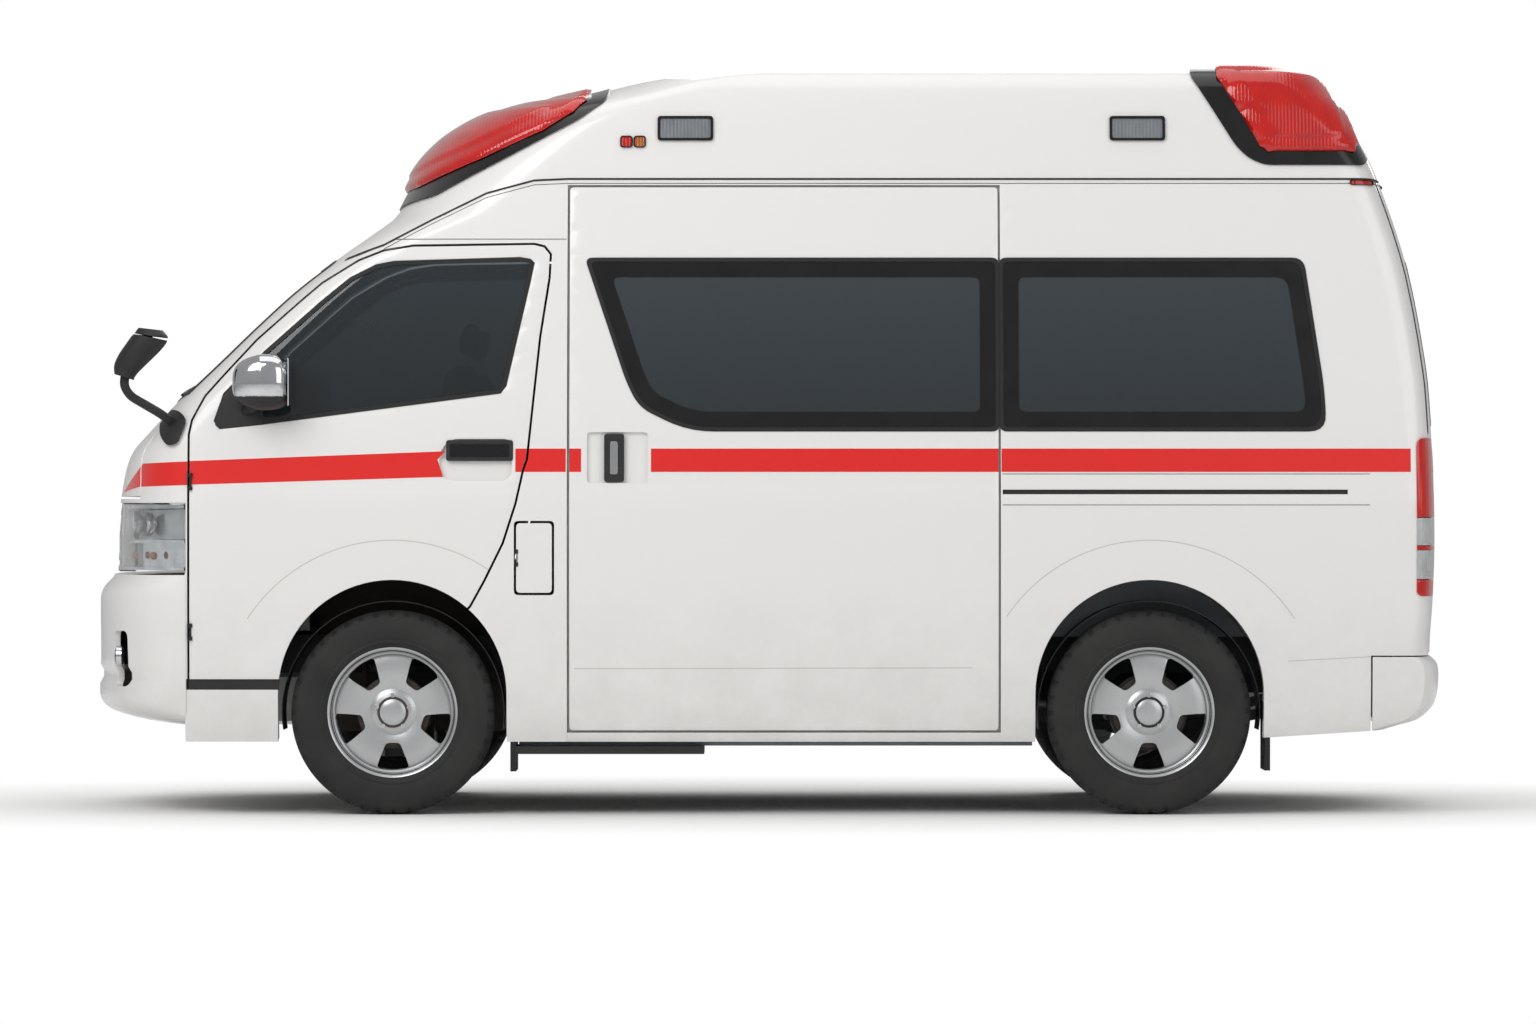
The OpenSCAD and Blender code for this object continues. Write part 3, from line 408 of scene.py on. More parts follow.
clearLens = lensMaterial("clearPolycarbonateMoulded", "#f4f6f7", 0.03, 0.97, 0.02, 0.0004)
redLens = lensMaterial("redAcrylicLensMoulded", "#ea160c", 0.1, 0.3, 0.012)
amberLens = lensMaterial("amberAcrylicLensMoulded", "#e07a12", 0.12, 0.4, 0.01)
smokedLens = lensMaterial("smokedPolycarbonateMoulded", "#8d9297", 0.12, 0.25, 0.012)
whiteLens = lensMaterial("clearAcrylicRibbedMoulded", "#d9dcdd", 0.14, 0.3, 0.01)
mirrorGlass = metalMaterial("mirrorGlassSilvered", "#e4e8ea", 0.02, 6.0, 0.02, strength=0.01)
plateEnamel = paintMaterial("whiteEnamelPlateStovedBlank", "#e6e7e4")
# painted shade: the body white made darker, for thin lines that stand in for the shade in pressed lines
paintedCreaseShade = paintMaterial("whitePaintWithPaintedCreaseShade", "#c9c8c6")
seatCloth = grainedMaterial("greyTricotSeatClothWoven", "#4a4e54", "#6a6e75", 1300.0, 0.9, 0.0006, 0.5)
stretcherVinyl = grainedMaterial("orangeVinylClothCalendered", "#b8501e", "#cf6428", 420.0, 0.5, 0.0005, 0.3)
print("materials ready")

# the lofted skin
# every curve is a table of height and value in millimetres
skin = {
    "nose": [(200, -2262), (830, -2272), (930, -2272), (1035, -2262), (1135, -2246), (1190, -2232),
             (1240, -2208),
             (1290, -2163), (1340, -2114), (1420, -2034), (1530, -1918), (1660, -1784), (1785, -1648),
             (1890, -1514),
             (2000, -1372), (2060, -1300), (2130, -1262), (2225, -1210), (2300, -1142), (2348, -1075),
             (2385, -1005),
             (2417, -915), (2441, -815), (2462, -715), (2484, -620), (2508, -530), (2529, -427),
             (2545, -310),
             (2557, -170), (2563, -20)],
    "tail": [(200, 2296), (580, 2302), (730, 2312), (930, 2318), (1140, 2315), (1290, 2308), (1460, 2298),
             (1610, 2278), (1835, 2237), (1985, 2196), (2105, 2156), (2215, 2115), (2310, 2074),
             (2390, 2033),
             (2440, 1992), (2485, 1962), (2510, 1945), (2535, 1912), (2553, 1870), (2563, 1810)],
    "tuck": [(200, 50), (250, 35), (330, 18), (450, 10), (700, 2), (1000, 0), (1075, 0), (1110, 6),
             (1300, 18),
             (1600, 52), (1880, 88), (2160, 134), (2250, 150), (2400, 178), (2480, 205), (2515, 238),
             (2540, 290),
             (2555, 370), (2563, 500)],
    "bow": [(200, 80), (1000, 75), (1250, 60), (1450, 35), (1900, 40), (2060, 90), (2400, 140), (2563, 60)],
    "reach": [(200, 330), (1100, 320), (1420, 250), (1900, 250), (2060, 330), (2300, 420), (2563, 300)],
    "square": [(200, 3.4), (1100, 3.6), (1420, 4.5), (1900, 4.2), (2100, 3.2), (2563, 2.6)],
    "tailBow": [(200, 30), (2160, 30), (2563, 60)],
    "tailReach": [(200, 95), (1300, 95), (2160, 110), (2563, 240)],
    "tailSquare": 3.6,
    "halfWidth": 940,
    "bumper": [(250, -1700), (270, -1850), (295, -2054), (312, -2176), (332, -2258), (349, -2299),
               (366, -2319),
               (395, -2332), (432, -2332), (458, -2318), (480, -2318), (500, -2329), (729, -2329),
               (760, -2321),
               (785, -2302), (813, -2278), (840, -2278)],
    "rearBumper": [(285, 2150), (300, 2200), (318, 2262), (340, 2292), (373, 2318), (424, 2330),
                   (475, 2332),
                   (505, 2328), (522, 2316), (535, 2300)],
}


def curveAt(table, z):
    # a curve through the table that never overshoots between two points
    if z <= table[0][0]:
        return table[0][1]
    if z >= table[-1][0]:
        return table[-1][1]
    i = 0
    while table[i + 1][0] < z:
        i += 1
    slope = lambda k: (table[k + 1][1] - table[k][1]) / (table[k + 1][0] - table[k][0])
    here = slope(i)
    before = slope(i - 1) if i > 0 else here
    after = slope(i + 1) if i + 2 < len(table) else here
    start = 2 * before * here / (before + here) if before * here > 0 else 0
    end = 2 * after * here / (after + here) if after * here > 0 else 0
    span = table[i + 1][0] - table[i][0]
    t = (z - table[i][0]) / span
    return (table[i][1] * (1 + 2 * t) * (1 - t) ** 2 + start * span * t * (1 - t) ** 2
            + table[i + 1][1] * t * t * (3 - 2 * t) + end * span * t * t * (t - 1))


ringCache = {}


def halfRing(z, nose, tail, lift):
    # half of the plan outline at one height, as three runs: front corner, straight side, rear corner
    key = (round(z, 2), nose, tail, lift)
    if key in ringCache:
        return ringCache[key]
    wide = skin["halfWidth"] - curveAt(skin["tuck"], z) + lift
    bow, reach, square = (curveAt(skin[name], z) for name in ("bow", "reach", "square"))
    tailBow, tailReach = curveAt(skin["tailBow"], z), curveAt(skin["tailReach"], z)
    noseX, tailX = curveAt(skin[nose], z) - lift, curveAt(skin[tail], z) + lift
    front, rear = [], []
    for k in range(181):
        turn = math.radians(k / 2)
        y = math.sin(turn) ** (2 / square)
        front.append((noseX + bow * y * y + reach * (1 - math.cos(turn) ** (2 / square)), wide * y))
        y = math.sin(turn) ** (2 / skin["tailSquare"])
        rear.append((tailX - tailBow * y * y - tailReach * (1 - math.cos(turn) ** (2 / skin["tailSquare"])),
                     wide * y))
    rear.reverse()
    runs = []
    for line in (front, [front[-1], rear[0]], rear):
        lengths = [0.0]
        for a, b in zip(line, line[1:]):
            lengths.append(lengths[-1] + math.hypot(b[0] - a[0], b[1] - a[1]))
        runs.append((line, lengths))
    ringCache[key] = runs
    return runs


def skinPoint(s, z, nose="nose", tail="tail", lift=0.0):
    # s runs from 0 at the front centre, 1 where the side starts, 2 where it ends, to 3 at the rear centre;
    # a negative s is the left side
    runs = halfRing(z, nose, tail, lift)
    along = min(abs(s), 3.0)
    index = min(int(along), 2)
    line, lengths = runs[index]
    want = (along - index) * lengths[-1]
    low, high = 0, len(lengths) - 1
    while high - low > 1:
        middle = (low + high) // 2
        if lengths[middle] <= want:
            low = middle
        else:
            high = middle
    span = (lengths[high] - lengths[low]) or 1.0
    t = (want - lengths[low]) / span
    x = line[low][0] + (line[high][0] - line[low][0]) * t
    y = line[low][1] + (line[high][1] - line[low][1]) * t
    return (x * mm, math.copysign(y, s) * mm, z * mm)


def spaced(low, high, count):
    return [low + (high - low) * k / (count - 1) for k in range(count)]


def levels(low, high, step=32):
    # even heights, with the two creases of the side kept sharp
    result = spaced(low, high, max(int((high - low) / step), 2) + 1)
    for crease in (1075, 1110):
        if low < crease < high:
            nearest = min(range(len(result)), key=lambda k: abs(result[k] - crease))
            result[nearest] = crease
    return result


roofLevels = [2130, 2163, 2195, 2225, 2262, 2300, 2325, 2348, 2367, 2385, 2401, 2417, 2430, 2441, 2452,
              2462, 2473,
              2484, 2496, 2508, 2519, 2529, 2537, 2545, 2551, 2557, 2560.5, 2563]


def faceOutwards(obj):  # a rolled grid comes out with its back to the viewer
    makeActive(obj)
    bpy.ops.object.mode_set(mode='EDIT')
    bpy.ops.mesh.select_all(action='SELECT')
    bpy.ops.mesh.flip_normals()
    bpy.ops.object.mode_set(mode='OBJECT')


def sheetOf(name, stations, heights, nose="nose", tail="tail", lift=0.0):
    # a flat grid rolled on to the skin
    deselectAll()
    columns, rows = len(stations), len(heights)
    bpy.ops.mesh.primitive_grid_add(x_subdivisions=columns - 1, y_subdivisions=rows - 1, size=2)
    obj = bpy.context.object
    obj.name = name
    for vertex in obj.data.vertices:
        column = round((vertex.co.x + 1) / 2 * (columns - 1))
        row = round((vertex.co.y + 1) / 2 * (rows - 1))
        vertex.co = skinPoint(stations[column], heights[row], nose, tail, lift)
    faceOutwards(obj)
    return obj


def closeTop(obj, z):  # fills the flat crown of the roof
    makeActive(obj)
    tidyNormals(obj)
    bpy.ops.object.mode_set(mode='EDIT')
    bpy.ops.mesh.select_all(action='DESELECT')
    bpy.ops.object.mode_set(mode='OBJECT')
    for edge in obj.data.edges:
        edge.select = all(abs(obj.data.vertices[i].co.z - z * mm) < 1e-5 for i in edge.vertices)
    bpy.ops.object.mode_set(mode='EDIT')
    bpy.ops.mesh.select_mode(type='EDGE')
    bpy.ops.mesh.edge_face_add()
    bpy.ops.mesh.inset(thickness=0.06)
    bpy.ops.mesh.select_all(action='SELECT')
    bpy.ops.mesh.normals_make_consistent(inside=False)
    bpy.ops.object.mode_set(mode='OBJECT')


def thicken(obj, thickness, sink=0.0):
    # the wall grows inwards from the skin, after it is sunk by so many millimetres
    if sink:
        useModifier(obj, 'DISPLACE', strength=-sink * mm, mid_level=0.0)
    useModifier(obj, 'SOLIDIFY', thickness=thickness * mm, offset=-1, use_even_offset=False)
    return obj


wall = 55
leaf = 22
gap = 8
frontAxleX = -1268
rearAxleX = 1302
tyreRadius = 346.5
halfTrack = 827
archRadius = 388
archHeight = 409
doorX = -1963
capZ = 2163
lampTop = 1058
lampBottom = 822

outlines = {
    "cap": [(-1900, 1905), (-1440, 1890), (-1302, 1938), (-1139, 2025), (-952, 2115), (-790, 2158),
            (-675, 2163),
            (3000, 2163), (3000, 3000), (-1900, 3000)],
    "door": [(-1963, 452), (-1963, 1290), (-1953, 1340), (-1909, 1424), (-1841, 1502), (-1737, 1617),
             (-1592, 1746),
             (-1515, 1812), (-1390, 1888), (-1302, 1922), (-1202, 1938), (-788, 1944), (-751, 1935),
             (-728, 1906),
             (-732, 1824), (-763, 1624), (-807, 1205), (-820, 1169), (-845, 1056), (-889, 919), (-951, 793),
             (-1000, 704), (-1268, 452)],
    "doorWindow": [(-1873, 1336), (-1854, 1309), (-1716, 1323), (-901, 1430), (-882, 1455), (-801, 1812),
                   (-788, 1875), (-801, 1888), (-838, 1894), (-1265, 1881), (-1327, 1869), (-1415, 1825),
                   (-1515, 1743), (-1704, 1574), (-1841, 1430)],
    "slide": [(-675, 278), (-675, 2142), (797, 2142), (797, 278)],
    "frontPane": [(-610, 1888), (789, 1888), (789, 1305), (-264, 1305, 90), (-427, 1386, 90),
                  (-470, 1470, 60)],
    "rearPane": [(797, 1888), (1826, 1888, 40), (1891, 1447, 60), (1897, 1305, 60), (797, 1305)],
    "windscreen": [(-735, 1440), (-400, 1412), (0, 1402), (400, 1412), (735, 1440), (640, 1874),
                   (600, 1884),
                   (0, 1886), (-600, 1884), (-640, 1874)],
    "bonnet": [(-810, 1072), (810, 1072), (748, 1366), (-748, 1366)],
    "gateWindow": [(-690, 1330), (690, 1330), (715, 1360), (660, 1850), (630, 1880), (-630, 1880),
                   (-660, 1850),
                   (-715, 1360)],
    "doorRecess": [(-1108, 1150), (-1108, 1232), (-1070, 1275), (-862, 1275), (-862, 1150), (-890, 1132),
                   (-1070, 1132)],
    "slideRecess": [(-607, 1125), (-400, 1125), (-400, 1298), (-607, 1298)],
    "noseStripe": [(-2216, 1094), (-2125, 1192), (-1950, 1199), (-1950, 1119), (-2139, 1113)],
    "doorStripe": [(-1975, 1199), (-1088, 1233), (-1114, 1205), (-1095, 1146), (-1975, 1119)],
    "shortStripe": [(-850, 1242), (-627, 1242), (-627, 1163), (-850, 1163)],
    "longStripe": [(-390, 1242), (2187, 1242), (2187, 1163), (-390, 1163)],
    "capLine": [(-1440, 1890), (-1302, 1938), (-1139, 2025), (-952, 2115), (-790, 2158), (-675, 2163),
                (2110, 2163)],
    "mirrorSail": [(-1871, 1322, 20), (-1840, 1425), (-1712, 1560, 10), (-1706, 1326, 10),
                   (-1852, 1310, 10)],
    "underPlate": [(-2048, 1378, 25), (-2071, 1345, 25), (-2066, 1290, 25), (-2033, 1251, 25),
                   (-1998, 1258, 25),
                   (-1966, 1342, 25), (-2000, 1374, 25)],
    "fuelLid": [(-851, 749), (-722, 749), (-722, 993), (-851, 993)],
    "tailLamp": [(2207, 742, 20), (2600, 742), (2600, 1278), (2207, 1278, 30)],
    "frontBeacon": [(-1400, 2070), (-1139, 2113), (-889, 2238), (-638, 2370), (-550, 2439), (-540, 2471),
                    (-565, 2600), (-1400, 2600)],
    "frontLens": [(-1400, 2132), (-1202, 2151), (-976, 2238), (-763, 2333), (-663, 2396), (-613, 2446),
                  (-638, 2600), (-1400, 2600)],
    "rearBeacon": [(1450, 2526), (1467, 2600), (1960, 2600), (2068, 2245), (2046, 2211), (1703, 2211),
                   (1647, 2234),
                   (1602, 2279)],
    "rearLens": [(1546, 2515), (1560, 2600), (1932, 2600), (2024, 2290), (2007, 2259), (1714, 2259),
                 (1686, 2279)],
}


def gateEdge(extra):  # the tailgate's front edge, from the top down
    heights = [capZ + 1, 2105, 2050, 1985, 1900, 1835, 1720, 1610, 1460, 1290, 1140, 930, 730, 580, 200]
    return ([(curveAt(skin["tail"], z) - 57 + extra,
              z) for z in heights] + [(curveAt(skin["tail"], 200) - 57 + extra, -10)])


def gateOutline(extra):  # all that lies ahead of that edge
    return [(-3000, -10), (-3000, capZ + 1)] + gateEdge(extra)


def archOutline(axleX, radius=archRadius):
    points = [(axleX + radius, -50)]
    for k in range(41):
        turn = math.pi * k / 40
        points.append((axleX + radius * math.cos(turn), archHeight + radius * math.sin(turn)))
    points.append((axleX - radius, -50))
    return points


def sideCut(obj, outline, side, operation='DIFFERENCE'):
    low, high = (-1.5, 0.0) if side < 0 else (0.0, 1.5)
    if side == 0:
        low, high = -1.5, 1.5
    return cutWith(obj, prism("cutter", outline, "side", low, high), operation)


def frontCut(obj, outline, low, high, operation='DIFFERENCE'):
    return cutWith(obj, prism("cutter", outline, "front", low * mm, high * mm), operation)


def boxCut(obj, low, high, operation='DIFFERENCE'):
    cutter = boxPiece("cutter", [c * mm for c in low], [c * mm for c in high], 0)
    return cutWith(obj, cutter, operation)


def softenRim(obj, width=rimWidth):  # folded panel edges are never knife sharp
    useModifier(obj, 'BEVEL', width=width, segments=2, limit_method='ANGLE', angle_limit=math.radians(50),
                use_clamp_overlap=True)
    return obj


def halfPatch(name, sLow, sHigh, zLow, zHigh, thickness, sink=0.0, density=1.0, step=32):
    count = max(int((sHigh - sLow) * 44 * density), 6)
    heights = levels(zLow, zHigh, step)
    if zHigh > 2163:
        heights = [z for z in levels(zLow, 2130, step)[:-1]] + roofLevels
    obj = sheetOf(name, spaced(sLow, sHigh, count + 1), heights)
    thicken(obj, thickness, sink)
    return obj


# front doors: an outer leaf that laps over an inner one
def makeDoor(side):
    word = sideWord[side]
    low, high = (-1.75, -0.5) if side < 0 else (0.5, 1.75)
    outer = halfPatch(word + "DoorSkin", low, high, 420, 1990, leaf, density=1.6)
    sideCut(outer, grown(outlines["door"], -gap), side, 'INTERSECT')
    sideCut(outer, archOutline(frontAxleX), side)
    sideCut(outer, outlines["doorWindow"], side)
    sideCut(outer, rounded(outlines["doorRecess"], 30), side)
    finishPiece(outer, word + "_front_door", whitePaint, word + "_front_door", rim=rimWidth)
    inner = halfPatch(word + "DoorLining", low, high, 420, 1990, wall - leaf, leaf, density=1.2)
    sideCut(inner, grown(outlines["door"], -20), side, 'INTERSECT')
    sideCut(inner, archOutline(frontAxleX, archRadius + 12), side)
    sideCut(inner, grown(outlines["doorWindow"], 4), side)
    finishPiece(inner, word + "_front_door", darkTrim, rim=0.004)
    glass = halfPatch(word + "DoorGlass", low, high, 1270, 1920, 6, 3, density=1.2)
    sideCut(glass, grown(outlines["doorWindow"], -0.4), side, 'INTERSECT')
    finishPiece(glass, word + "_front_door", tintedGlass, word + "_door_glass")
    seal = halfPatch(word + "DoorWindowSeal", low, high, 1250, 1940, 9, -1.5, density=1.2)
    sideCut(seal, grown(outlines["doorWindow"], 1), side, 'INTERSECT')
    sideCut(seal, grown(outlines["doorWindow"], -14), side)
    finishPiece(seal, word + "_front_door", sealRubber)


for side in (-1, 1):
    makeDoor(side)
print("doors made")

# body sides
sidePanel = {"sill": 247, "lampPillar": 790, "lampCorner": 1290}
gatePanel = {"halfWidth": 782, "corner": 1298, "foot": 548}


def makeSide(side):
    word = sideWord[side]
    low, high = (-2.99, -1.0) if side < 0 else (1.0, 2.99)
    panel = halfPatch(word + "SidePanel", low, high, sidePanel["sill"], capZ - 0.4, wall, density=1.1)
    boxCut(panel, (-far, -beside, 0), (-675, beside, 2300))
    # behind the tailgate's edge only the lamp pillar stays
    behind = prism("cutter", gateEdge(0) + [(3000, -10), (3000, capZ + 1)], "side", -1.5, 1.5)
    pillarLow, pillarHigh = (-1500, -sidePanel["lampPillar"]) if side < 0 else (sidePanel["lampPillar"],
                                                                                1500)
    boxCut(behind, (0, pillarLow, -100), (3500, pillarHigh, sidePanel["lampCorner"]))
    cutWith(panel, behind, 'DIFFERENCE')
    boxCut(panel, (1500, -sidePanel["lampPillar"], 0),
           (2600, sidePanel["lampPillar"], sidePanel["lampCorner"]))
    boxCut(panel, (2052, -beside, 0), (2600, beside, 540))
    sideCut(panel, rounded(outlines["tailLamp"], 20), side)
    sideCut(panel, archOutline(rearAxleX), side)
    sideCut(panel, rounded(outlines["rearPane"], 25), side)
    sideCut(panel, [(1302, 0), (far, 0), (far, 345), (1710, 262), (1302, 246)], side)
    if side < 0:
        sideCut(panel, outlines["slide"], side)
        boxCut(panel, (803, -960, 1087), (1973, -920, 1103))
    else:
        sideCut(panel, rounded(outlines["frontPane"], 25), side)
    finishPiece(panel, "body", whitePaint, word + "_side_panel", rim=rimWidth)


for side in (-1, 1):
    makeSide(side)

slideOuter = halfPatch("slidingDoorSkin", -1.92, -1.0, 260, 2160, leaf, density=1.4)
sideCut(slideOuter, rounded(grown(outlines["slide"], -gap), 14), -1, 'INTERSECT')
sideCut(slideOuter, rounded(outlines["frontPane"], 25), -1)
finishPiece(slideOuter, "body", whitePaint, "sliding_door", rim=rimWidth)
slideInner = halfPatch("slidingDoorLining", -1.92, -1.0, 260, 2160, wall - leaf, leaf, density=0.9)
sideCut(slideInner, grown(outlines["slide"], -0.4), -1, 'INTERSECT')
sideCut(slideInner, rounded(grown(outlines["frontPane"], 3), 25), -1)
sideCut(slideOuter, rounded(outlines["slideRecess"], 14), -1)
finishPiece(slideInner, "body", lightTrim)
print("sides made")


# cab: fenders, pillars and cowl
def fullSheet(name, heights, frontCount, sideCount, rearCount):
    stations = (spaced(-3, -2, rearCount)[:-1] + spaced(-2, -1, sideCount)[:-1] + spaced(-1, 0,
                                                                                         frontCount)[:-1]
                + spaced(0, 1, frontCount)[:-1] + spaced(1, 2, sideCount)[:-1] + spaced(2, 3, rearCount))
    return sheetOf(name, stations, heights)


cab = sheetOf("cabShell", spaced(-1.62, 1.62, 190), levels(247, 2163, 30) + [2195])
thicken(cab, wall)
boxCut(cab, (-675.4, -beside, 0), (far, beside, far))
cutWith(cab, prism("cutter", outlines["cap"], "side", -1.5, 1.5), 'DIFFERENCE')
boxCut(cab, (-far, -beside, 0), (doorX - gap, beside, lampBottom + 0.4))
for side in (-1, 1):
    sideCut(cab, outlines["door"], side)
    sideCut(cab, archOutline(frontAxleX), side)
boxCut(cab, (doorX - gap / 2, -beside, 424), (frontAxleX, beside, 460))
boxCut(cab, (-far, 565, lampBottom - 1), (doorX - gap / 2 - 1, beside, lampTop))
boxCut(cab, (-far, -beside, lampBottom - 1), (doorX - gap / 2 - 1, -565, lampTop))
boxCut(cab, (-far, -565, 0), (-1500, 565, lampTop))
frontCut(cab, outlines["bonnet"], -far, -1950)
frontCut(cab, outlines["windscreen"], -far, -1300)
sideCut(cab, rounded(grown(outlines["fuelLid"], gap / 2), 16), -1)
finishPiece(cab, "body", whitePaint, "cab_shell", rim=rimWidth)
print("cab made")

bonnet = sheetOf("bonnetSkin", spaced(-0.93, 0.93, 90), levels(1050, 1390, 14))
thicken(bonnet, 36)
frontCut(bonnet, grown(outlines["bonnet"], -gap), -far, -1950, 'INTERSECT')
finishPiece(bonnet, "bonnet", whitePaint, "bonnet", rim=0.002)

# raised roof
roofHeights = levels(1880, 2130, 26)[:-1] + roofLevels
roof = fullSheet("roofCap", roofHeights, 56, 40, 26)
closeTop(roof, 2563)
thicken(roof, wall)
cutWith(roof, prism("cutter", outlines["cap"], "side", -1.5, 1.5), 'INTERSECT')
finishPiece(roof, "body", whitePaint, "roof_cap")
print("roof made")


# tailgate
def rearSheet(name, zLow, zHigh, thickness, sink=0.0, step=32, count=40, heights=None, tail="tail",
              start=2.0):
    # across the back, from the right rear corner to the left one
    stations = spaced(start, 3.0, count)
    heights = heights or levels(zLow, zHigh, step)
    deselectAll()
    columns, rows = 2 * count - 1, len(heights)
    bpy.ops.mesh.primitive_grid_add(x_subdivisions=columns - 1, y_subdivisions=rows - 1, size=2)
    obj = bpy.context.object
    obj.name = name
    for vertex in obj.data.vertices:
        column = round((vertex.co.x + 1) / 2 * (columns - 1))
        row = round((vertex.co.y + 1) / 2 * (rows - 1))
        s = stations[column] if column < count else -stations[2 * count - 2 - column]
        vertex.co = skinPoint(s, heights[row], "nose", tail)
    faceOutwards(obj)
    thicken(obj, thickness, sink)
    return obj


gate = rearSheet("tailgateSkin", 520, 2175, wall)
cutWith(gate, prism("cutter", gateOutline(gap), "side", -1.5, 1.5), 'DIFFERENCE')
boxCut(gate, (-far, -beside, capZ - gap), (far, beside, far))
boxCut(gate, (-far, -beside, 0), (far, beside, gatePanel["foot"]))
for side in (-1, 1):
    corner = sorted((side * gatePanel["halfWidth"], side * beside))
    boxCut(gate, (0, corner[0], 0), (far, corner[1], gatePanel["corner"]))
frontCut(gate, rounded(outlines["gateWindow"], 20), 1500, far)
finishPiece(gate, "tailgate", whitePaint, "tailgate", rim=rimWidth)
gateGlass = rearSheet("tailgateGlass", 1300, 1900, 6, 2, 30)
frontCut(gateGlass, grown(rounded(outlines["gateWindow"], 20), -0.4), 1500, far, 'INTERSECT')
finishPiece(gateGlass, "tailgate", privacyGlass, "tailgate_glass")
print("tailgate made")

# windscreen and side glass
screen = sheetOf("windscreenGlass", spaced(-0.96, 0.96, 90), levels(1380, 1920, 20))
thicken(screen, 6, 2)
frontCut(screen, grown(outlines["windscreen"], -0.4), -far, -1300, 'INTERSECT')
finishPiece(screen, "body", tintedGlass, "windscreen")
paneBorder = 62
panes = []
borders = []
for side in (-1, 1):
    low, high = (-2.4, -1.0) if side < 0 else (1.0, 2.4)
    for name in ("frontPane", "rearPane"):
        word = ("left" if side < 0 else "right") + name.capitalize()
        border = halfPatch(word + "Border", low, high, 1290, 1905, 6, 1, density=0.8)
        sideCut(border, rounded(grown(outlines[name], -0.4), 25), side, 'INTERSECT')
        sideCut(border, rounded(grown(outlines[name], -paneBorder), 25), side)
        borders.append(border)
        pane = halfPatch(word, low, high, 1290, 1905, 4, 2.5, density=0.8)
        sideCut(pane, rounded(grown(outlines[name], 1 - paneBorder), 25), side, 'INTERSECT')
        panes.append(pane)
border = joinAll("sideGlassBorder", borders)
finishPiece(border, "body", glossBlack, "side_windows")
pane = joinAll("sideGlass", panes)
finishPiece(pane, "body", privacyGlass)
print("glass made")

# bumpers
bumperHeights = [250, 258, 270, 283, 295, 304, 312, 322, 332, 341, 349, 358, 366, 380, 395, 414, 432, 445,
                 458, 469, 480,
                 490, 500, 530, 580, 640, 700, 729, 745, 760, 773, 785, 800, 813]
bumper = sheetOf("frontBumper", spaced(-1.12, 1.12, 150), bumperHeights, "bumper", "tail")
thicken(bumper, 18)
boxCut(bumper, (doorX - gap / 2 - 1, -beside, 0), (far, beside, far))
cutWith(bumper, prism("cutter", rounded([(-430, 505), (430, 505), (430, 640), (-430, 640)], 40), "front",
                      -2.6, -2.1),
        'DIFFERENCE')
for side in (-1, 1):
    recess = rounded([(745 * side, 432), (838 * side, 432), (838 * side, 622), (745 * side, 622)], 24)
    frontCut(bumper, recess, -2600, -2100)
finishPiece(bumper, "body", whitePaint, "front_bumper", rim=0.003)
rearBumperHeights = [285, 292, 300, 309, 318, 329, 340, 356, 373, 400, 424, 450, 475, 490, 505, 514, 522,
                     529, 535]
rearBumper = rearSheet("rearBumperSkin", 0, 0, 16, count=44, heights=rearBumperHeights, tail="rearBumper",
                       start=1.9)
boxCut(rearBumper, (-far, -beside, 0), (2058, beside, far))
finishPiece(rearBumper, "body", whitePaint, "rear_bumper", rim=0.004)
print("bumpers made")


# red stripes, rubber mouldings and seals, each a thin sheet laid on the skin
def film(name, side, sLow, sHigh, keep, body, material=redFilm, cut=(), lift=0.7, thickness=1.0,
         density=2.0):
    zs = [p[1] for p in keep[0]]
    sheet = halfPatch(name, side * sHigh if side < 0 else sLow, side * sLow if side < 0 else sHigh,
                      min(zs) - 12, max(zs) + 12, thickness, -lift, density, 18)
    for outline in keep:
        sideCut(sheet, outline, side, 'INTERSECT')
    for outline in cut:
        sideCut(sheet, outline, side)
    return finishPiece(sheet, body, material)


